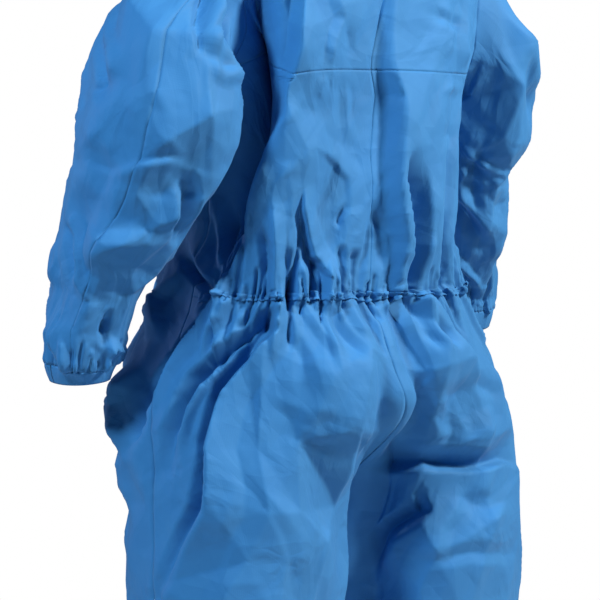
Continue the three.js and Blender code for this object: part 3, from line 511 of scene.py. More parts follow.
# side, width up the arm, width down the arm, height, path, profile, grip
SLEEVE_CREASES = [
    # left: the fold at the shoulder, and the folds that run into the armhole
    (LEFT, 26, 6, 9, ((-0.16, -60), (-0.06, -22), (0.00, -14), (0.045, -4)), C, (0.4, 0.0)),
    (LEFT, 6, 20, -9, ((-0.14, -36), (-0.05, -8), (-0.01, 10), (-0.03, 30)), C, (0.3, 0.0)),
    (LEFT, 7, 9, -8, ((0.145, -90), (0.175, -55), (0.200, -42), (0.205, -28)), C, (0.8, 0.1)),
    (LEFT, 22, 6, 9, ((0.19, -95), (0.225, -62), (0.250, -36)), C, (0.8, 0.2)),
    (LEFT, 6, 10, -11, ((0.23, -100), (0.270, -70), (0.300, -48)), C, (0.8, 0.2)),
    (LEFT, 6, 24, 7, ((0.205, -27), (0.250, -25), (0.300, -27), (0.360, -32)), C, (0.3, 0.5)),
    (LEFT, 12, 5, -6, ((0.200, -36), (0.240, -34), (0.300, -38)), C, (0.3, 0.3)),
    # left: long facets of the upper arm
    (LEFT, 50, 40, 8, ((0.110, -60), (0.100, -17), (0.098, 40), (0.110, 80)), C, (0.6, 0.3)),
    (LEFT, 24, 30, 4, ((0.120, -20), (0.130, 10), (0.170, 46), (0.240, 54)), C, (0.2, 0.2)),
    (LEFT, 26, 30, 6, ((0.340, -22), (0.320, 20), (0.340, 60)), C, (0.6, 0.2)),
    (LEFT, 24, 24, 6, ((0.000, 20), (0.010, 70), (0.000, 120), (-0.02, 160)), C),
    # left elbow: the arc where the upper arm folds over, its ridges and the pocket
    (LEFT, 34, 5, 6, ((0.085, 100), (0.105, 93), (0.135, 80), (0.185, 70), (0.225, 72)), C, (0.3, 0.2)),
    (LEFT, 34, 34, 6, ((0.095, 104), (0.115, 138), (0.140, 167)), C, (0.3, 0.9)),
    (LEFT, 34, 10, 7, ((0.140, 167), (0.200, 156), (0.285, 148)), C, (0.9, 0.3)),
    (LEFT, 12, 10, -11, ((0.250, 86), (0.275, 104), (0.305, 126), (0.34, 140)), C, (0.5, 0.5)),
    (LEFT, 24, 5, 6, ((0.200, 90), (0.240, 106), (0.282, 134)), C, (0.2, 0.3)),
    # left forearm
    (LEFT, 14, 7, 9, ((0.00, 176), (0.055, 198), (0.085, 226), (0.150, 254)), C, (0.7, 0.4)),
    (LEFT, 7, 12, -8, ((-0.02, 186), (0.035, 208), (0.070, 236)), C, (0.7, 0.1)),
    (LEFT, 20, 20, 6, ((-0.09, 205), (-0.08, 235), (-0.06, 270)), C),
    (LEFT, 34, 34, 7, ((0.140, 167), (0.155, 210), (0.150, 254), (0.165, 292), (0.205, 358)), C, (0.8, 0.6)),
    (LEFT, 12, 30, 7, ((-0.04, 298), (0.070, 322), (0.205, 360)), C, (0.4, 0.6)),
    (LEFT, 9, 9, -9, ((0.220, 270), (0.235, 292)), C, (0.5, 0.5)),
    (LEFT, 14, 9, 6, ((0.23, 296), (0.30, 306), (0.38, 322)), C),
    (LEFT, 8, 8, -6, ((0.30, 330), (0.30, 350)), C, (0.2, 1.0)),
    # right
    (RIGHT, 30, 12, 9, ((0.20, -92), (0.215, -60), (0.160, -34), (0.10, -22)), C, (0.6, 0.3)),
    (RIGHT, 12, 24, -8, ((0.24, -70), (0.19, -28), (0.12, -6)), C),
    (RIGHT, 30, 30, 7, ((0.26, -80), (0.25, -30), (0.24, 20), (0.24, 70)), C, (0.5, 0.3)),
    (RIGHT, 10, 10, -6, ((0.30, 14), (0.33, 58), (0.322, 110), (0.32, 165)), C),
    (RIGHT, 24, 8, 9, ((0.40, 26), (0.33, 52), (0.27, 66)), C, (0.6, 0.3)),
    (RIGHT, 8, 16, -11, ((0.39, 42), (0.33, 66), (0.28, 80)), C, (0.6, 0.3)),
    (RIGHT, 26, 8, 8, ((0.42, 94), (0.36, 124), (0.30, 160), (0.26, 190)), C, (0.5, 0.3)),
    (RIGHT, 8, 16, -10, ((0.40, 108), (0.35, 140), (0.30, 186)), C, (0.6, 0.3)),
    (RIGHT, 26, 8, 8, ((0.42, 200), (0.35, 232), (0.28, 270)), C, (0.5, 0.3)),
    (RIGHT, 8, 14, -9, ((0.41, 218), (0.34, 256), (0.27, 292)), C, (0.6, 0.3)),
    (RIGHT, 26, 20, 6, ((0.22, 90), (0.20, 140), (0.24, 200), (0.20, 260)), C),
    # the sides of both sleeves that look forward and inward
    (LEFT, 16, 18, 9, ((0.62, 40), (0.74, 66), (0.88, 60)), C),
    (RIGHT, 16, 18, 9, ((0.60, 50), (0.74, 72), (0.88, 68)), C),
    (LEFT, 14, 14, -10, ((0.62, 150), (0.74, 168), (0.86, 160)), C),
    (RIGHT, 14, 14, -10, ((0.62, 140), (0.74, 160), (0.86, 150)), C),
    (LEFT, 14, 18, 8, ((0.60, 240), (0.72, 256), (0.86, 250)), C),
    (RIGHT, 14, 18, 8, ((0.60, 226), (0.72, 240), (0.86, 236)), C),
    (LEFT, 30, 30, 6, ((0.78, -60), (0.80, 20), (0.76, 110)), C),
    (RIGHT, 30, 30, 6, ((0.80, -50), (0.78, 30), (0.80, 110)), C),
]


@dataclass(frozen=True)
class GatherSize:
    """One size of gather: how many there are, and the limits of the draw, in millimetres."""

    each: float        # number for each 100 mm of elastic
    width: tuple[float, float]
    rise: tuple[float, float]
    length: tuple[float, float]
    trough: float      # height of a trough for each unit of a ridge's


@dataclass
class Gathers:
    """Uneven gathers that run out from an elastic, a few long ones among many short ones."""

    seed: int
    scale: float
    sizes: tuple[GatherSize, ...] = (
        GatherSize(2.6, (4.5, 8.0), (5.0, 10.0), (40.0, 105.0), -1.0),
        GatherSize(7.0, (2.4, 4.2), (3.0, 5.5), (14.0, 42.0), -1.7),
        GatherSize(12.0, (1.5, 2.4), (1.5, 2.8), (5.0, 14.0), -1.7),
    )
    lean: float = 0.16         # most that a gather leans by chance
    narrow: float = 0.75       # width of a trough for each unit of a ridge's
    calm: float = 0.06         # part of the span at its end over which the gathers die down

    def creases(self, side: int, place: float, span: tuple[float, float], ways: Sequence[int],
                lean: float = 0.0) -> list[Crease]:
        """Ridges and troughs by turns along the elastic, each of its own length and lean.

        Args:
            side: LEFT or RIGHT.
            place: where the elastic lies along the cloth.
            span: first and last `around` of the elastic.
            ways: 1, -1 or both, the ways in which the gathers run out.
            lean: how much more they lean outwards at the end of the span.

        Returns:
            The creases.
        """
        draw = np.random.default_rng(self.seed + side)
        found: list[Crease] = []
        width = (span[1] - span[0]) * self.scale
        for size in self.sizes:
            count = max(2, round(size.each * width / 100))
            for i in range(count):
                at = span[0] + (span[1] - span[0]) * (i + 0.5 + draw.uniform(-0.45, 0.45)) / count
                ridge = i % 2 == 1
                for way in ways:
                    length = draw.uniform(*size.length)
                    slope = draw.uniform(-self.lean, self.lean) + (lean * at if way < 0 else 0.0)
                    rise = draw.uniform(*size.rise) * (1.0 if ridge else size.trough)
                    rise *= min(1.0, 0.15 + (span[1] - at) / self.calm)
                    foot = (at, place + way * 1.5)
                    middle = (at + 0.35 * slope * length / self.scale, place + way * length * 0.5)
                    top = (at + slope * length / self.scale, place + way * length)
                    rear = draw.uniform(*size.width) * (1.0 if rise > 0 else self.narrow)
                    fore = rear * draw.uniform(0.6, 1.0)
                    found.append(Crease(side, rear, fore, rise, (foot, middle, top), C, (1.0, 0.0)))
        return found


def made_creases(rows: Sequence[tuple]) -> list[Crease]:
    """Creases from the rows of a table."""
    return [Crease(side, rear, fore, BOLDNESS * height, *rest) for side, rear, fore, height, *rest in rows]


# ---------------------------------------------------------------- surfaces
@dataclass
class BodyForm:
    """Surface of the body and legs, worn by a general figure.

    `around` is 0 at the centre back or inseam, 0.5 at the side and 1 at the centre front or inseam.
    """

    # height, half width on the left, on the right, back depth, front depth, roundness, drop of the front
    trunk_rows: Rows = field(default_factory=lambda: Rows([
        (45, 78, 78, 70, 64, 2.0, 68),
        (24, 122, 122, 86, 80, 2.1, 62),
        (-8, 190, 190, 104, 102, 2.4, 46),
        (-50, 218, 218, 112, 116, 2.8, 26),
        (-95, 222, 224, 116, 128, 3.0, 12),
        (-145, 204, 208, 119, 140, 3.1, 4),
        (-190, 182, 184, 119, 150, 3.0, 0),
        (-250, 176, 174, 119, 165, 2.8, 0),
        (-330, 176, 166, 127, 182, 2.6, 0),
        (-400, 184, 168, 128, 196, 2.5, 0),
        (-450, 194, 188, 121, 208, 2.3, 0),
        (-480, 207, 200, 132, 214, 2.3, 0),
        (-560, 240, 246, 164, 196, 2.3, 0),
        (-640, 254, 262, 165, 182, 2.3, 0),
        (-740, 262, 268, 150, 165, 2.3, 0),
    ]))
    # height, centre across, centre forward, half width, half depth
    leg_rows: dict[int, Rows] = field(default_factory=lambda: {
        LEFT: Rows([
            (-560, 134, 0, 133, 140),
            (-740, 134, 5, 132, 148),
            (-800, 138, 5, 131, 145),
            (-880, 141, 5, 126, 138),
            (-1000, 145, 0, 118, 122),
            (-1200, 150, 0, 106, 106),
            (-1400, 152, 0, 92, 94),
            (-1450, 152, 0, 74, 78),
        ]),
        RIGHT: Rows([
            (-560, 136, 0, 135, 140),
            (-740, 138, 5, 136, 150),
            (-800, 142, 5, 135, 147),
            (-880, 145, 5, 131, 140),
            (-1000, 147, 0, 120, 124),
            (-1200, 150, 0, 106, 106),
            (-1400, 152, 0, 92, 94),
            (-1450, 152, 0, 74, 78),
        ]),
    })
    # height, share of the half girth by which the centre back seam has slipped to the left
    slip_rows: Rows = field(default_factory=lambda: Rows([
        (45, 0),
        (-100, 0),
        (-180, 0.02),
        (-300, 0.034),
        (-450, 0.045),
        (-600, 0),
        (-740, 0),
    ]))
    creases: CreaseSet = field(default_factory=lambda: CreaseSet(
        made_creases(BACK_CREASES + HIP_CREASES + LEG_CREASES) + [
            crease
            for side in (LEFT, RIGHT)
            for crease in Gathers(11, HALF_GIRTH).creases(side, WAIST, (0.0, 0.48), (1, -1), 0.9)
            + Gathers(31, HALF_GIRTH).creases(side, ANKLE + HEM, (0.06, 0.94), (1,))
        ], HALF_GIRTH, False))
    coarse: Facets = field(default_factory=lambda: Facets(5, 66.0))
    fine: Facets = field(default_factory=lambda: Facets(8, 24.0))
    girth: float = HALF_GIRTH
    leg_start: float = HIP_LINE + 90   # where the legs start to have their own seams
    leg_blend: float = 90.0
    seam_fade: float = 20.0            # how fast the folds die down at the two inseams of a leg
    zip_fade: float = 14.0             # the same at the zip
    corners: dict[int, Array] = field(init=False)

    def __post_init__(self) -> None:
        """Lay the corners of the large facets, for each side."""
        self.corners = {side: self.coarse.lay(functools.partial(self.raised, side)) for side in (LEFT, RIGHT)}

    def raised(self, side: int, x: Array, y: Array, height: Array) -> Array:
        """Point of a facet's corner; past the centre back it lies on the other side, below the hips on the seam."""
        x, y = x / STRETCH[0], np.clip(y / STRETCH[1], ANKLE, NECK)
        other = (side * x < 0) & (y > HIP_LINE - 30)
        around = np.where(other, np.abs(x), np.maximum(side * x, 0)) / HALF_GIRTH
        around = np.minimum(around, 1.0)
        found = []
        for each in (side, -side):
            normal = normals(functools.partial(self.plain, each), around, y, BODY_STEPS, -each)
            found.append(self.plain(each, around, y) + normal * (RISE * height + SAG_BODY)[..., None])
        return np.where(other[..., None], found[1], found[0])

    def trunk(self, turn: Array, height: Array) -> Array:
        """Points above the hips; `turn` is 0 at the centre back, 0.25 at the left side."""
        left, right, back, front, roundness, drop = self.trunk_rows.at(height)
        s = np.sin(2 * math.pi * turn)
        c = np.cos(2 * math.pi * turn)
        x = np.where(s >= 0, left, right) * power(s, roundness)
        y = np.where(c > 0, back, front) * power(c, roundness)
        return np.stack([x, y, height - drop * (1 - c) / 2], -1)

    def plain(self, side: int, around: Array, height: Array) -> Array:
        """Points without folds.

        Args:
            side: LEFT or RIGHT.
            around: places around.
            height: places up, in millimetres.

        Returns:
            Points in millimetres.
        """
        around, height = as_grids(around, height)
        upper = np.maximum(height, CROTCH)
        slip = self.slip_rows.at(upper)[0]
        turn = side * around / 2 + slip / 2 * np.maximum(0, 1 - around) ** 2
        point = self.trunk(turn, upper)
        across, back, half_width, half_depth = self.leg_rows[side].at(height)
        angle = 2 * math.pi * around
        blend = ease((HIP_LINE - height) / (HIP_LINE - CROTCH))
        x = mix(point[..., 0], side * (across - half_width * np.cos(angle)), blend)
        y = mix(point[..., 1], back + half_depth * np.sin(angle), blend)
        z = np.where(height >= HIP_LINE, point[..., 2], height)
        return np.stack([x, y, z], -1)

    def surface(self, side: int, around: Array, height: Array) -> Array:
        """Points with all folds, which fade out at the neck, the ends of the legs and the inseam."""
        around, height = as_grids(around, height)
        bare = functools.partial(self.plain, side)
        leg = ease((self.leg_start - height) / self.leg_blend)
        ends = mix(1.0, ease(np.minimum(around, 1 - around) * self.seam_fade), leg)
        centre = mix(ease((1 - around) * self.zip_fade), 1.0, leg)
        fade = ease((NECK - 20 - height) / 50) * ease((height - ANKLE) / 60) * ends * centre
        x = side * around * HALF_GIRTH
        point = bare(around, height)
        flat = self.coarse.over(self.corners[side], STRETCH[0] * x, STRETCH[1] * height) - point
        lift = self.creases.lift(side * around, height) + FINE * self.fine.at(x + 0.2 * height, height * 0.8)
        normal = normals(bare, around, height, BODY_STEPS, -side)
        return point + (flat + normal * lift[..., None]) * fade[..., None]

    def hole_edge(self, height: Array, towards_front: bool) -> Array:
        """Edge of the armhole, as `around` at a height."""
        t = np.clip((height - HOLE_MIDDLE) / HOLE_HALF, -1, 1)
        return 0.5 + (2 if towards_front else -2) * HOLE_WIDTH * np.sqrt(1 - t * t)

    def armhole(self, side: int, around: Array) -> Array:
        """Closed curve of the armhole: 0 shoulder, 0.25 back, 0.5 armpit, 0.75 front."""
        angle = 2 * math.pi * around
        height = HOLE_MIDDLE + HOLE_HALF * np.cos(angle)
        return self.surface(side, 0.5 - 2 * HOLE_WIDTH * np.sin(angle), height)


@dataclass
class SleeveForm:
    """Surface of the sleeves: `around` 0 at the shoulder, 0.5 in the armpit; `along` 0 at the first section."""

    body: BodyForm
    # across, back, height, half width, half depth
    sections: dict[int, tuple[tuple[float, ...], ...]] = field(default_factory=lambda: {
        LEFT: (
            (263, 24, -205, 71, 106),
            (268, 16, -245, 74, 108),
            (276, 5, -290, 72, 104),
            (288, -11, -340, 64, 86),
            (303, -37, -392, 57, 72),
            (309, -53, -445, 48, 54),
            (318, -67, -490, 44, 46),
            (318, -71, -522, 43, 45),
            (316, -73, -548, 35, 36),
        ),
        RIGHT: (
            (262, -16, -205, 68, 98),
            (261, -43, -250, 67, 90),
            (266, -63, -292, 64, 84),
            (282, -76, -340, 62, 78),
            (302, -90, -395, 54, 62),
            (314, -99, -432, 48, 50),
            (322, -106, -464, 45, 46),
            (328, -110, -492, 44, 45),
            (332, -113, -518, 37, 38),
        ),
    })
    coarse: Facets = field(default_factory=lambda: Facets(15, 58.0))
    fine: Facets = field(default_factory=lambda: Facets(18, 22.0))
    girth: float = SLEEVE_GIRTH
    turned: float = 0.3        # slant of the large facets down the arm
    roundness: float = 2.2     # of the sections
    shift: dict[int, float] = field(default_factory=lambda: {LEFT: 0.0, RIGHT: 600.0})
    creases: dict[int, CreaseSet] = field(default_factory=dict)
    axes: dict[int, Rows] = field(default_factory=dict)
    length: dict[int, float] = field(default_factory=dict)
    corners: dict[int, Array] = field(init=False)
    holes: dict[int, Array] = field(init=False)

    def __post_init__(self) -> None:
        """Measure each sleeve along its axis, and keep the armhole that it is sewn to."""
        self.holes = {side: self.body.armhole(side, HOLE_PLACES) for side in (LEFT, RIGHT)}
        for side, rows in self.sections.items():
            table = np.array(rows, float)
            steps = np.linalg.norm(np.diff(table[:, :3], axis=0), axis=1)
            along = np.concatenate([[0.0], np.cumsum(steps)])
            self.axes[side] = Rows([(a, *row) for a, row in zip(along, rows)])
            self.length[side] = float(along[-1])
            by_hand = [crease for crease in made_creases(SLEEVE_CREASES) if crease.side == side]
            gathers = Gathers(51, SLEEVE_GIRTH).creases(side, self.length[side] - HEM, (0.0, 1.0), (-1,))
            self.creases[side] = CreaseSet(by_hand + gathers, SLEEVE_GIRTH, True)
        self.corners = {side: self.coarse.lay(functools.partial(self.raised, side)) for side in (LEFT, RIGHT)}

    def tube(self, side: int, around: Array, along: Array) -> tuple[Array, Array]:
        """Points and directions of the tube below the head."""
        axis = self.axes[side]
        x, y, z, half_width, half_depth = axis.at(along)
        before = np.stack(axis.at(along - 4)[:3], -1)
        after = np.stack(axis.at(along + 4)[:3], -1)
        tangent = unit(after - before)
        across = unit(np.cross(np.array([0.0, 1.0, 0.0]), tangent))
        across = across * np.where(across[..., :1] < 0, -1, 1)
        back = unit(np.cross(tangent, across))
        back = back * np.where(back[..., 1:2] < 0, -1, 1)
        angle = 2 * math.pi * around
        point = np.stack([x, y, z], -1)
        point = point + across * (half_width * power(np.cos(angle), self.roundness))[..., None]
        point = point + back * (half_depth * power(np.sin(angle), self.roundness))[..., None]
        mirror = np.array([side, 1.0, 1.0])
        return point * mirror, tangent * mirror

    def armhole(self, side: int, around: Array) -> Array:
        """Points of the armhole, read between the kept ones."""
        return np.stack([np.interp(around, HOLE_PLACES, self.holes[side][:, k], period=1.0) for k in range(3)], -1)

    @staticmethod
    def pull(reach: Array, c: Array) -> Array:
        """How far the head is pulled outwards; `c` is 1 at the shoulder and -1 in the armpit."""
        return 20 + reach * (1.15 + 0.35 * c)

    def start(self, side: int, around: Array) -> Array:
        """First place beside the armhole, 0.4 mm out."""
        c = np.cos(2 * math.pi * around)
        first = self.tube(side, around, np.zeros_like(around))[0]
        reach = np.linalg.norm(self.armhole(side, around) - first, axis=-1)
        return -HEAD * (1 - 0.4 / self.pull(reach, c))

    def plain(self, side: int, around: Array, along: Array) -> Array:
        """Points without folds: -HEAD at the armhole, 0 at the first section, then distance down the arm."""
        around, along = as_grids(around, along)
        lower = self.tube(side, around, np.maximum(along, 0.0))[0]
        begin = self.armhole(side, around)
        end, tangent = self.tube(side, around, np.zeros_like(along))
        reach = np.linalg.norm(begin - end, axis=-1)
        c = np.cos(2 * math.pi * around)
        leave = unit(np.stack([
            side * (0.9 + 0.25 * c),
            0.1 * np.sin(2 * math.pi * around),
            -0.22 + 0.16 * c,
        ], -1))
        k = np.clip(along / HEAD + 1, 0, 1)[..., None]
        head = smooth(k, begin, leave * self.pull(reach, c)[..., None], end, tangent * reach[..., None])
        return np.where((along >= 0)[..., None], lower, head)

    def raised(self, side: int, x: Array, y: Array, height: Array) -> Array:
        """Point of a facet's corner."""
        around = (x - self.turned * y - self.shift[side]) / SLEEVE_GIRTH
        along = np.clip(y, -HEAD, self.length[side])
        normal = normals(functools.partial(self.plain, side), around, along, SLEEVE_STEPS, -side)
        return self.plain(side, around, along) + normal * (RISE * height + SAG_SLEEVE)[..., None]

    def surface(self, side: int, around: Array, along: Array) -> Array:
        """Points with all folds, which fade out at the armhole and the wrist."""
        around, along = as_grids(around, along)
        bare = functools.partial(self.plain, side)
        fade = ease((along + HEAD) / 40) * ease((self.length[side] - along) / 30)
        turn = around - np.floor(around)
        point = bare(around, along)
        found = []
        for x in (turn * SLEEVE_GIRTH, (turn - 1) * SLEEVE_GIRTH):
            x = x + self.shift[side] + self.turned * along
            found.append((self.coarse.over(self.corners[side], x, along), self.fine.at(x - 0.6 * along, along)))
        blend = ease((turn - 0.55) / 0.35)
        flat = mix(found[0][0], found[1][0], blend[..., None]) - point
        lift = self.creases[side].lift(around, along) + FINE * mix(found[0][1], found[1][1], blend)
        normal = normals(bare, around, along, SLEEVE_STEPS, -side)
        return point + (flat + normal * lift[..., None]) * fade[..., None]


# ---------------------------------------------------------------- meshes
def link(name: str, data: bpy.types.ID) -> bpy.types.Object:
    """New object of the scene that holds the data."""
    obj = bpy.data.objects.new(name, data)
    bpy.context.scene.collection.objects.link(obj)
    return obj


def aim(obj: bpy.types.Object, place: Vector, target: Vector) -> None:
    """Put a camera or light at a place and turn it to the target."""
    obj.location = place
    obj.rotation_mode = "QUATERNION"
    obj.rotation_quaternion = (target - place).to_track_quat("-Z", "Y")


def grid_object(name: str, outer: Array, inner: Array, uv: Array, ring: bool = False) -> bpy.types.Object:
    """Closed shell from two layers of a grid.

    Args:
        name: name of the object.
        outer: points of the outer layer, rows by columns by 3, in millimetres.
        inner: points of the inner layer.
        uv: flat place of each point in metres, rows by columns by 2.
        ring: whether the last column joins the first.

    Returns:
        The new object, linked to the scene.
    """
    rows, columns = outer.shape[:2]
    points = np.concatenate([outer.reshape(-1, 3), inner.reshape(-1, 3)]) * MM
    last = columns if ring else columns - 1
    r, c = np.meshgrid(np.arange(rows - 1), np.arange(last), indexing="ij")
    a = (r * columns + c).ravel()
    b = (r * columns + (c + 1) % columns).ravel()
    under = rows * columns
    top = np.stack([a, b, b + columns, a + columns], -1)
    below = np.stack([a, a + columns, b + columns, b], -1) + under
    c = np.arange(last)
    d = (c + 1) % columns
    foot = (rows - 1) * columns
    rims = [
        np.stack([under + c, under + d, d, c], -1),
        np.stack([foot + c, foot + d, under + foot + d, under + foot + c], -1),
    ]
    if not ring:
        a = np.arange(rows - 1) * columns
        b = a + columns - 1
        rims.append(np.stack([a, a + columns, under + a + columns, under + a], -1))
        rims.append(np.stack([under + b, under + b + columns, b + columns, b], -1))
    faces = np.concatenate([top, below, *rims])
    across = points[top[:, 1]] - points[top[:, 0]]
    up = points[top[:, 3]] - points[top[:, 0]]
    out = points[top[:, 0]] - points[top[:, 0] + under]
    if np.sum(np.cross(across, up) * out) < 0:
        faces = faces[:, ::-1]
    mesh = bpy.data.meshes.new(name)
    mesh.from_pydata(points.tolist(), [], faces.tolist())
    mesh.polygons.foreach_set("use_smooth", np.arange(len(faces)) < 2 * len(top))
    flat = np.concatenate([uv.reshape(-1, 2), uv.reshape(-1, 2)])
    layer = mesh.uv_layers.new(name="cloth")
    corner = np.empty(len(mesh.loops), np.int32)
    mesh.loops.foreach_get("vertex_index", corner)
    layer.data.foreach_set("uv", flat[corner].astype(np.float32).ravel())
    mesh.update()
    return link(name, mesh)


def grid_normals(points: Array, like: Array, ring: bool) -> Array:
    """Normals of a grid of points, turned to the side of `like`; `ring` joins its last column to the first."""
    du = np.roll(points, -1, axis=1) - np.roll(points, 1, axis=1) if ring else np.gradient(points, axis=1)
    dv = np.gradient(points, axis=0)
    normal = unit(np.cross(du, dv))
    return normal * np.where(np.sum(normal * like, -1, keepdims=True) < 0, -1, 1)


def spaced(*stops: tuple[float, float]) -> Array:
    """Places from the first stop to the last.

    Args:
        stops: pairs of a place and the step that is used from it to the next stop.

    Returns:
        The places, each stop among them.
    """
    found: list[float] = []
    for (start, step), (end, _) in zip(stops, stops[1:]):
        count = max(1, round(abs(end - start) / step))
        found += list(np.linspace(start, end, count + 1)[:-1])
    return np.array(found + [stops[-1][0]])


# ---------------------------------------------------------------- materials
def rgb(red: int, green: int, blue: int) -> tuple[float, float, float, float]:
    """Linear colour from the usual 0 to 255 screen values."""
    def linear(value: int) -> float:
        """One channel."""
        share = value / 255.0
        return share / 12.92 if share <= 0.04045 else ((share + 0.055) / 1.055) ** 2.4

    return (linear(red), linear(green), linear(blue), 1.0)


class Nodes:
    """Short ways to add and join the nodes of one tree."""

    def __init__(self, tree: bpy.types.NodeTree) -> None:
        """Keep the tree."""
        self.tree = tree

    def add(self, kind: str, **values: object) -> bpy.types.Node:
        """Add a node.

        Args:
            kind: type of the node.
            values: settings by name, and inputs by name with spaces as underscores.

        Returns:
            The node.
        """
        node = self.tree.nodes.new(kind)
        for name, value in values.items():
            if hasattr(node, name):
                setattr(node, name, value)
            else:
                node.inputs[name.replace("_", " ")].default_value = value
        return node

    def join(self, start: bpy.types.NodeSocket, end: bpy.types.NodeSocket) -> None:
        """Join two sockets."""
        self.tree.links.new(start, end)

    def math(self, operation: str, first: object, second: object = 0.0) -> bpy.types.NodeSocket:
        """Result of one sum on sockets or numbers."""
        node = self.tree.nodes.new("ShaderNodeMath")
        node.operation = operation
        for socket, value in zip(node.inputs, (first, second)):
            if isinstance(value, bpy.types.NodeSocket):
                self.join(value, socket)
            else:
                socket.default_value = value
        return node.outputs[0]


def new_material(name: str) -> tuple[bpy.types.Material, Nodes, bpy.types.Node]:
    """New material, its nodes and its shader."""
    material = bpy.data.materials.new(name)
    material.use_nodes = True
    return material, Nodes(material.node_tree), material.node_tree.nodes["Principled BSDF"]


def new_group(name: str, inputs: Sequence[tuple[str, float]], outputs: Sequence[str]) -> bpy.types.NodeTree:
    """Empty shader node group with float inputs and outputs and one vector input named Place."""
    tree = bpy.data.node_groups.new(name, "ShaderNodeTree")
    tree.interface.new_socket("Place", in_out="INPUT", socket_type="NodeSocketVector")
    for label, value in inputs:
        socket = tree.interface.new_socket(label, in_out="INPUT", socket_type="NodeSocketFloat")
        socket.default_value = value
    for label in outputs:
        tree.interface.new_socket(label, in_out="OUTPUT", socket_type="NodeSocketFloat")
    return tree


def emboss_group() -> bpy.types.NodeTree:
    """Fine bonded grain of the non-woven: rows of small pressed points with loose fibre between them.

    Returns:
        A group with the inputs Pitch in metres and Fibre (how much the loose fibre stands out), and the output
        Height.
    """
    tree = new_group("bonded_grain", (("Pitch", 0.0016), ("Fibre", 0.35)), ("Height",))
    n = Nodes(tree)
    start = n.add("NodeGroupInput")
    end = n.add("NodeGroupOutput")
    scale = n.math("DIVIDE", 1.0, start.outputs["Pitch"])
    point = n.add("ShaderNodeTexVoronoi", feature="F1", voronoi_dimensions="2D", Randomness=0.25)
    fibre = n.add("ShaderNodeTexNoise", noise_dimensions="3D", Detail=3.0, Roughness=0.7)
    for texture in (point, fibre):
        n.join(start.outputs["Place"], texture.inputs["Vector"])
        n.join(scale, texture.inputs["Scale"])
    dent = n.math("MULTIPLY", n.math("SMOOTH_MIN", point.outputs["Distance"], 0.5), 1.2)
    loose = n.math("MULTIPLY", fibre.outputs["Fac"], start.outputs["Fibre"])
    n.join(n.math("ADD", dent, loose), end.inputs["Height"])
    return tree


def crumple_group() -> bpy.types.NodeTree:
    """Flat facets with crisp straight creases at two sizes, as handled non-woven has.

    Returns:
        A group with the inputs Size in metres, Fine (size of the small facets, as a share) and Share (how much
        of the cloth has the small ones), and the output Height in metres.
    """
    tree = new_group("crumpled_facets", (("Size", 0.05), ("Fine", 0.36), ("Share", 0.5)), ("Height",))
    n = Nodes(tree)
    start = n.add("NodeGroupInput")
    end = n.add("NodeGroupOutput")
    wander = n.add("ShaderNodeTexNoise", noise_dimensions="2D", Scale=9.0, Detail=1.0)
    n.join(start.outputs["Place"], wander.inputs["Vector"])
    shift = n.add("ShaderNodeVectorMath", operation="SCALE", Scale=0.05)
    n.join(wander.outputs["Color"], shift.inputs[0])
    place = n.add("ShaderNodeVectorMath", operation="ADD")
    n.join(start.outputs["Place"], place.inputs[0])
    n.join(shift.outputs[0], place.inputs[1])
    heights = []
    for turn, size, squeeze in ((0.5, 1.0, 0.55), (-0.9, 1.0, 0.7), (1.3, None, 0.6), (-0.3, None, 0.8)):
        turned = n.add("ShaderNodeMapping", Rotation=(0.0, 0.0, turn), Scale=(1.0, squeeze, 1.0))
        n.join(place.outputs[0], turned.inputs["Vector"])
        metres = start.outputs["Size"] if size else n.math("MULTIPLY", start.outputs["Size"], start.outputs["Fine"])
        cells = n.add("ShaderNodeTexVoronoi", feature="F1", voronoi_dimensions="2D", distance="MANHATTAN")
        n.join(turned.outputs[0], cells.inputs["Vector"])
        n.join(n.math("DIVIDE", 1.0, metres), cells.inputs["Scale"])
        heights.append(n.math("MULTIPLY", cells.outputs["Distance"], metres))
    patches = n.add("ShaderNodeTexNoise", noise_dimensions="2D", Scale=14.0, Detail=2.0)
    n.join(start.outputs["Place"], patches.inputs["Vector"])
    least = n.math("SUBTRACT", 1.0, start.outputs["Share"])
    where = n.math("MULTIPLY", n.math("SUBTRACT", patches.outputs["Fac"], least), 6.0)
    where = n.math("MINIMUM", n.math("MAXIMUM", where, 0.0), 1.0)
    small = n.math("MULTIPLY", n.math("ADD", heights[2], heights[3]), where)
    n.join(n.math("ADD", n.math("ADD", heights[0], heights[1]), small), end.inputs["Height"])
    return tree


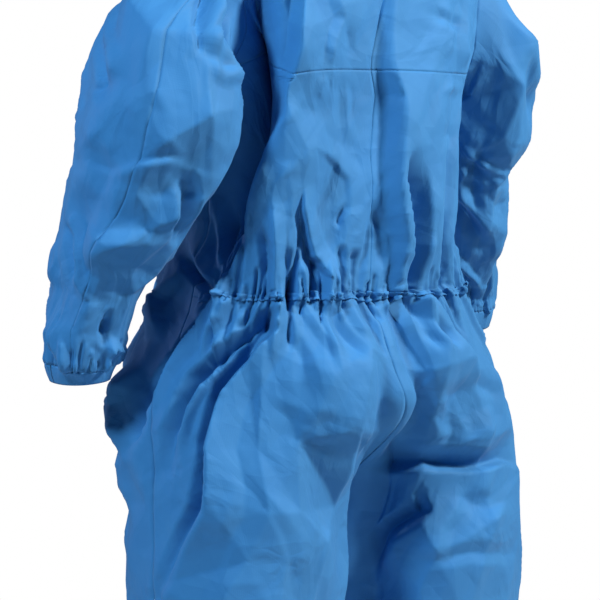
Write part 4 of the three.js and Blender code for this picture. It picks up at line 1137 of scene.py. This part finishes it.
@dataclass(frozen=True)
class NonWoven:
    """Finish of the bonded non-woven cloth: colour, its slight mottle, grain, hairline creases and soft sheen."""

    name: str
    colour: tuple[float, float, float, float] = rgb(62, 128, 184)
    deep: tuple[float, float, float, float] = rgb(52, 117, 176)
    roughness: float = 0.72
    sheen: float = 0.05
    grain: float = 0.0001
    crumple: float = 0.055

    def build(self, groups: dict[str, bpy.types.NodeTree]) -> bpy.types.Material:
        """Make the material.

        Args:
            groups: the shared node groups by name.

        Returns:
            The material.
        """
        material, n, shader = new_material(self.name)
        shader.inputs["Roughness"].default_value = self.roughness
        shader.inputs["Sheen Weight"].default_value = self.sheen
        shader.inputs["Sheen Roughness"].default_value = 0.45
        shader.inputs["Sheen Tint"].default_value = (0.75, 0.88, 1.0, 1.0)
        shader.inputs["Specular IOR Level"].default_value = 0.22
        place = n.add("ShaderNodeTexCoord")
        uv = n.add("ShaderNodeUVMap", uv_map="cloth")
        cloud = n.add("ShaderNodeTexNoise", Scale=26.0, Detail=4.0, Roughness=0.6)
        n.join(place.outputs["Object"], cloud.inputs["Vector"])
        tint = n.add("ShaderNodeMixRGB")
        tint.inputs["Color1"].default_value = self.deep
        tint.inputs["Color2"].default_value = self.colour
        n.join(cloud.outputs["Fac"], tint.inputs["Fac"])
        n.join(tint.outputs["Color"], shader.inputs["Base Color"])
        heights = []
        for name, amount in (("grain", self.grain), ("crumple", self.crumple)):
            group = n.add("ShaderNodeGroup")
            group.node_tree = groups[name]
            n.join(uv.outputs["UV"], group.inputs["Place"])
            heights.append(n.math("MULTIPLY", group.outputs["Height"], amount))
        height = n.math("ADD", *heights)
        bump = n.add("ShaderNodeBump", Strength=1.0, Distance=1.0)
        n.join(height, bump.inputs["Height"])
        n.join(bump.outputs["Normal"], shader.inputs["Normal"])
        return material


@dataclass(frozen=True)
class Moulded:
    """Finish of the moulded zip: plain plastic with a slight unevenness of gloss."""

    name: str
    colour: tuple[float, float, float, float] = rgb(58, 120, 184)
    roughness: float = 0.38

    def build(self) -> bpy.types.Material:
        """Make the material."""
        material, n, shader = new_material(self.name)
        shader.inputs["Base Color"].default_value = self.colour
        place = n.add("ShaderNodeTexCoord")
        cloud = n.add("ShaderNodeTexNoise", Scale=420.0, Detail=2.0)
        n.join(place.outputs["Object"], cloud.inputs["Vector"])
        uneven = n.math("MULTIPLY", cloud.outputs["Fac"], 0.12)
        n.join(n.math("ADD", uneven, self.roughness), shader.inputs["Roughness"])
        return material


# ---------------------------------------------------------------- garment
class Slot(Enum):
    """Material slots of the pieces."""

    CLOTH = "nonwoven_blue"
    HEM = "nonwoven_blue_hem"
    ZIP = "zip_blue"


@dataclass
class Panels:
    """The cut cloth pieces of the garment."""

    body: BodyForm
    sleeve: SleeveForm
    finishes: dict[Slot, bpy.types.Material]

    def piece(self, node: str, points: Array, like: Array, uv: Array, flat: tuple[float, float],
              area: float | None = None, held: str = "hung", slot: Slot = Slot.CLOTH, ring: bool = False) -> None:
        """Make one thin shell over a grid of points, named after the node that it stands for, and hide that node.

        Args:
            node: the node that it stands for.
            points: middle of the cloth, rows by columns by 3, in millimetres.
            like: directions that look roughly out of the garment.
            uv: flat place of each point in metres.
            flat: width and length of the cut, in metres; not used.
            area: area of the cut where it isn't a rectangle, in square metres; not used.
            held: how the sheet is held; not used.
            slot: its material slot.
            ring: whether the piece closes round a limb.
        """
        half = grid_normals(points, like, ring) * (CLOTH / 2)
        obj = grid_object(node + "_cloth", points + half, points - half, uv, ring)
        obj.data.materials.append(self.finishes[slot])
        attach(obj, BODY)
        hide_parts(node)
        down = points[1:, :-1] - points[:-1, :-1]
        across = points[:-1, 1:] - points[:-1, :-1]
        size = float(np.sum(np.linalg.norm(np.cross(down, across), axis=-1))) * MM * MM
        log.info("%s: %d faces, %.4f m2 of cloth", obj.name, len(obj.data.polygons), size)

    def panel(self, node: str, form: BodyForm | SleeveForm, side: int, columns: Array, rows: Array,
              flat: tuple[float, float], *how: object) -> None:
        """Make one cut panel.

        Args:
            node: the node that it stands for, without its side.
            form: the form that it lies on.
            side: LEFT or RIGHT.
            columns: `around` of each grid point, rows by columns.
            rows: `along` of each grid point.
            flat: width and length of the cut, in metres.
            how: area, hold, slot and closing of the piece, as `piece` takes them.
        """
        like = normals(functools.partial(form.plain, side), columns, rows, BODY_STEPS, -side)
        uv = np.stack([columns * form.girth * MM, rows * MM], -1)
        self.piece(f"{node}_{WORD[side]}", form.surface(side, columns, rows), like, uv, flat, *how)

    def band(self, node: str, form: BodyForm | SleeveForm, side: int, levels: Array,
             flat: tuple[float, float]) -> None:
        """Make one closed band at the end of a limb.

        Args:
            node: the node that it stands for, without its side.
            form: the form that it lies on.
            side: LEFT or RIGHT.
            levels: `along` of its rows.
            flat: width and length of the cut, in metres.
        """
        columns, rows = np.meshgrid(np.linspace(0, 1, 161)[:-1], levels)
        self.panel(node, form, side, columns, rows, flat, None, "gathered", Slot.HEM, True)

    def build(self) -> None:
        """Make every piece of both sides."""
        for side in (LEFT, RIGHT):
            self.body_side(side)
            self.sleeve_side(side)
        self.elastic()
        self.collar()

    @staticmethod
    def both_sides(find: Callable[[int, Array, Array], Array], around: Array, height: Array) -> Array:
        """Points on both sides of the centre back; `find` is the body's `surface` or `plain`."""
        left = find(LEFT, np.maximum(around, 0), height)
        right = find(RIGHT, np.maximum(-around, 0), height)
        return np.where((around >= 0)[..., None], left, right)

    def elastic(self, reach: float = 0.478, half: float = 5.5, step: float = 1.3, knots: int = 260) -> None:
        """Narrow gathered ruffle that holds the elastic across the back.

        Args:
            reach: where it ends, as a share of the half girth.
            half: half of its height in millimetres.
            step: distance between its grid points in millimetres.
            knots: number of small pleats that are drawn.
        """
        draw = np.random.default_rng(77)
        places = np.cumsum(draw.uniform(2.2, 6.5, knots)) - 560
        stand = draw.uniform(0.0, 1.0, (3, knots))
        stand[:, ::2] *= 0.25
        across = spaced((-reach, step / HALF_GIRTH), (reach, step / HALF_GIRTH))
        u, v = np.meshgrid(across, np.linspace(-1, 1, 9))
        x = u * HALF_GIRTH
        flare = mix(np.interp(x, places, stand[0]), np.interp(x, places, stand[1]), (v + 1) / 2) * np.abs(v) ** 0.7
        sway = 1.6 * (np.interp(x, places[::5], stand[2, ::5]) - 0.5)
        heights = WAIST + sway + half * v * (0.75 + 0.5 * flare)
        points = self.both_sides(self.body.surface, u, heights)
        like = points * UPRIGHT
        line = self.both_sides(self.body.surface, u, np.full_like(u, WAIST) + 3 * v)
        out = unit(grid_normals(line, like, False) + unit(like))
        points = points + out * (0.9 + 4.2 * flare)[..., None]
        self.piece("waist_elastic", points, like, np.stack([x * MM, heights * MM], -1), (0.86, 0.014),
                   held="gathered", slot=Slot.HEM)

    def collar(self, opening: float = 0.979, narrow: float = 0.07, lean: float = 4.0, dip: float = 0.12) -> None:
        """Stand collar, which leans in and dips towards the front.

        Args:
            opening: where it ends beside the zip, as a share of the half girth.
            narrow: share by which it narrows to its top.
            lean: how far its top leans forwards, in millimetres.
            dip: share by which its front is lower.
        """
        u, up = np.meshgrid(np.linspace(-opening, opening, 221), np.linspace(SEAM_LINE, COLLAR, 19))
        foot = self.both_sides(self.body.plain, u, np.full_like(u, NECK))
        k = up / COLLAR
        width = 1 - narrow * ease(k) + 0.012 * np.sin(9 * u + 1) * k
        points = foot * np.stack([width, width, np.ones_like(width)], -1)
        points = points + np.stack([np.zeros_like(k), -lean * k, up * (1 - dip * np.abs(u))], -1)
        like = points * UPRIGHT
        wave = self.body.coarse.at(u * 300 + 400, up * 2) * 2.0 + self.body.fine.at(u * 260, up * 1.5) * 0.9
        dent = wave * np.sin(math.pi * np.clip(k, 0, 1))
        points = points + grid_normals(points, like, False) * dent[..., None]
        self.piece("collar", points, like, np.stack([u * 220 * MM, up * MM], -1), (0.44, 0.044))

    def body_side(self, side: int) -> None:
        """Yoke, back, seat and leg, front and ankle hem of one side."""
        edge = 0.5 * SEAM_LINE / HALF_GIRTH
        hem = ANKLE + HEM
        levels = spaced((NECK, 3.0), (YOKE_SEAM, 3.0), (WAIST + 66, 2.0), (WAIST, 2.0), (WAIST - 80, 3.0),
                        (-860.0, 4.5), (hem, 4.5))
        backs = (
            ("yoke_back", NECK, YOKE_SEAM, 0.0, 3.0, (0.30, 0.24), 0.050),
            ("back", YOKE_SEAM, WAIST, SEAM_LINE, 2.2, (0.34, 0.29), 0.086),
            ("leg_back", WAIST, hem, SEAM_LINE, 2.2, (0.42, 1.02), 0.32),
        )
        for node, high, low, gap, step, flat, area in backs:
            rows = levels[(levels <= high) & (levels >= low)]
            rows[0] -= gap
            share = np.linspace(0, 1, round(0.5 * HALF_GIRTH / step) + 1)
            columns = mix(edge, (self.body.hole_edge(rows, False) - edge)[:, None], share)
            self.panel(node, self.body, side, *np.broadcast_arrays(columns, rows[:, None]), flat, area)
        inside = self.body.hole_edge(levels, True) + edge
        middle = np.where(levels > ZIP_END, 1 - (ZIP_HALF + SEAM_GAP) / HALF_GIRTH, 1 - edge)
        columns = mix(inside[:, None], middle[:, None], np.linspace(0, 1, 61))
        self.panel("front", self.body, side, *np.broadcast_arrays(columns, levels[:, None]), (0.42, 1.52), 0.46)
        self.band("ankle_hem", self.body, side, spaced((hem - SEAM_GAP, 3.0), (ANKLE, 3.0)), (0.56, 0.022))

    def sleeve_side(self, side: int) -> None:
        """Two pieces and the cuff of one sleeve."""
        edge = 0.5 * SEAM_LINE / SLEEVE_GIRTH
        length = self.sleeve.length[side]
        halves = (
            ("sleeve_back", SLEEVE_SEAM, UNDERARM, 3.0, (0.20, 0.52), 0.085),
            ("sleeve_front", UNDERARM, 1 + SLEEVE_SEAM, 4.0, (0.33, 0.54), 0.145),
        )
        for node, low, high, step, flat, area in halves:
            around = np.linspace(low + edge, high - edge, round((high - low) * SLEEVE_GIRTH / step) + 1)
            share = np.linspace(0, 1, 34)[:-1]
            head = mix(self.sleeve.start(side, around), 0.0, share[:, None])
            rows = spaced((0.0, step), (length - HEM, step))
            lower = np.broadcast_to(rows[:, None], (len(rows), len(around)))
            grid = np.concatenate([head, lower])
            self.panel(node, self.sleeve, side, np.broadcast_to(around, grid.shape), grid, flat, area)
        self.band("cuff", self.sleeve, side, spaced((length - HEM + SEAM_GAP, 2.5), (length, 2.5)), (0.26, 0.022))


@dataclass
class ZipTeeth:
    """Moulded teeth that stand on the zip's chain, by turns from its left and its right."""

    body: BodyForm
    plastic: bpy.types.Material
    pitch: float = 3.0
    width: float = 4.2
    height: float = 1.3
    foot: float = 0.7      # where a tooth starts and ends over the middle of the chain
    stand: float = 1.6
    past: float = 0.15     # how far it passes the middle, as a share of its half width

    def build(self) -> None:
        """Make all the teeth as one object."""
        at = np.arange(ZIP_END + 6, NECK - 4, self.pitch / 2)
        middle = self.body.plain(LEFT, np.full_like(at, 0.9999), at)
        middle[:, 0] = 0.0
        along = unit(np.gradient(middle, axis=0))
        out = unit(np.cross(along, np.array([1.0, 0.0, 0.0])))
        out = out * np.where(out[:, 1:2] > 0, -1, 1)
        turn = np.where(np.arange(len(at)) % 2 == 0, 1.0, -1.0)
        quads = ((0, 3, 2, 1), (4, 5, 6, 7), (0, 1, 5, 4), (1, 2, 6, 5), (2, 3, 7, 6), (3, 0, 4, 7))
        points, faces = [], []
        for where, way, up, side in zip(middle, along, out, turn):
            first = len(points)
            for lift, shrink in ((self.foot, 1.0), (self.stand, 0.8)):
                for a, b in ((-self.past, -1), (1.0, -1), (1.0, 1), (-self.past, 1)):
                    across = np.array([side * self.width * 0.5 * a * shrink, 0.0, 0.0])
                    points.append((where + across + way * b * self.height / 2 * shrink + up * lift) * MM)
            faces += [tuple(first + k for k in (quad if side > 0 else quad[::-1])) for quad in quads]
        mesh = bpy.data.meshes.new("zip_teeth")
        mesh.from_pydata([tuple(point) for point in points], [], faces)
        mesh.update()
        mesh.materials.append(self.plastic)
        obj = link("zip_teeth", mesh)
        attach(obj, BODY)
        log.info("%s: %d teeth", obj.name, len(at))


# ---------------------------------------------------------------- studio
@dataclass(frozen=True)
class Lamp:
    """One square soft light."""

    name: str
    bearing: float         # degrees from straight behind the wearer towards the wearer's left
    height: float          # metres over the middle of the garment
    away: float            # metres from the garment's axis
    size: float            # side in metres
    watts: float
    colour: tuple[float, float, float]


@dataclass
class Studio:
    """Floor, soft lights and camera."""

    bearing: float = 38.0          # degrees from straight behind towards the wearer's left
    distance: float = 2.8
    target: tuple[float, float, float] = (0.0246, -0.0192, -0.4625)
    rise: float = 0.1875           # height of the camera over its target
    lens: float = 134.4
    floor_radius: float = 2.2
    lamps: tuple[Lamp, ...] = (
        Lamp("key", -32.0, 1.9, 2.5, 0.5, 140.0, (1.0, 0.97, 0.90)),
        Lamp("fill", 76.0, 1.8, 2.3, 0.4, 66.0, (0.62, 0.88, 1.0)),
        Lamp("rim", 150.0, 0.7, 3.0, 0.6, 18.0, (0.84, 0.82, 1.0)),
    )

    def camera(self) -> None:
        """Set the camera behind the wearer's left side."""
        data = bpy.data.cameras.new("camera")
        data.lens = self.lens
        data.sensor_width = 36.0
        turn = math.radians(self.bearing)
        target = Vector(self.target)
        away = Vector((math.sin(turn), math.cos(turn), 0.0)) * self.distance + Vector((0, 0, self.rise))
        obj = link("camera", data)
        aim(obj, target + away, target)
        bpy.context.scene.camera = obj

    def light(self, lamp: Lamp) -> None:
        """Add one square soft light that looks at the garment."""
        data = bpy.data.lights.new(lamp.name, "AREA")
        data.shape = "SQUARE"
        data.size = lamp.size
        data.energy = lamp.watts
        data.color = lamp.colour
        turn = math.radians(lamp.bearing)
        middle = Vector((0.0, 0.0, -0.5))
        away = Vector((math.sin(turn) * lamp.away, math.cos(turn) * lamp.away, lamp.height))
        aim(link(lamp.name, data), middle + away, middle)

    def floor(self, low: float) -> None:
        """Lay a pale round floor that fades into the backdrop.

        Args:
            low: height of the garment's lowest point, in metres.
        """
        radius = self.floor_radius
        bpy.ops.mesh.primitive_circle_add(vertices=96, radius=radius, fill_type="NGON", location=(0, 0, low - 0.002))
        floor = bpy.context.active_object
        floor.name = "floor"
        material, n, shader = new_material("floor")
        shader.inputs["Base Color"].default_value = (0.86, 0.86, 0.86, 1.0)
        shader.inputs["Roughness"].default_value = 0.9
        place = n.add("ShaderNodeTexCoord")
        length = n.add("ShaderNodeVectorMath", operation="LENGTH")
        n.join(place.outputs["Object"], length.inputs[0])
        fade = n.add("ShaderNodeMapRange", interpolation_type="SMOOTHSTEP", From_Min=0.5 * radius,
                     From_Max=0.98 * radius, To_Min=1.0, To_Max=0.0)
        n.join(length.outputs["Value"], fade.inputs["Value"])
        n.join(fade.outputs["Result"], shader.inputs["Alpha"])
        floor.data.materials.append(material)

    def backdrop(self, strength: float, fill: tuple[float, float, float]) -> None:
        """White backdrop, with a weaker bluish fill for what it lights.

        Args:
            strength: strength of the fill.
            fill: colour of the fill.
        """
        world = bpy.data.worlds.new("backdrop")
        bpy.context.scene.world = world
        world.use_nodes = True
        tree = world.node_tree
        n = Nodes(tree)
        tree.nodes.clear()
        seen = n.add("ShaderNodeBackground", Color=(1.0, 1.0, 1.0, 1.0), Strength=1.0)
        glow = n.add("ShaderNodeBackground", Color=(*fill, 1.0), Strength=strength)
        rays = n.add("ShaderNodeLightPath")
        either = n.add("ShaderNodeMixShader")
        end = n.add("ShaderNodeOutputWorld")
        n.join(rays.outputs["Is Camera Ray"], either.inputs["Fac"])
        n.join(glow.outputs[0], either.inputs[1])
        n.join(seen.outputs[0], either.inputs[2])
        n.join(either.outputs[0], end.inputs["Surface"])

    def build(self) -> None:
        """Set the whole studio."""
        self.camera()
        self.floor(CAD_BOX[0][2])
        self.backdrop(0.11, (0.20, 0.56, 1.0))
        for lamp in self.lamps:
            self.light(lamp)
        bpy.context.scene.view_settings.view_transform = "Standard"
        bpy.context.scene.view_settings.look = "None"


def main() -> None:
    """Build the garment and its studio, and report each piece."""
    logging.basicConfig(level=logging.INFO, format="%(message)s")
    groups = {"grain": emboss_group(), "crumple": crumple_group()}
    finishes = {slot: NonWoven(slot.value).build(groups) for slot in (Slot.CLOTH, Slot.HEM)}
    plastic = Moulded(Slot.ZIP.value).build()
    body = BodyForm()
    Panels(body, SleeveForm(body), finishes).build()
    ZipTeeth(body, plastic).build()
    for name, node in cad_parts.items():
        if name.startswith("zip"):
            node.data.materials.clear()
            node.data.materials.append(plastic)
    Studio().build()


if __name__ == "__main__":
    main()
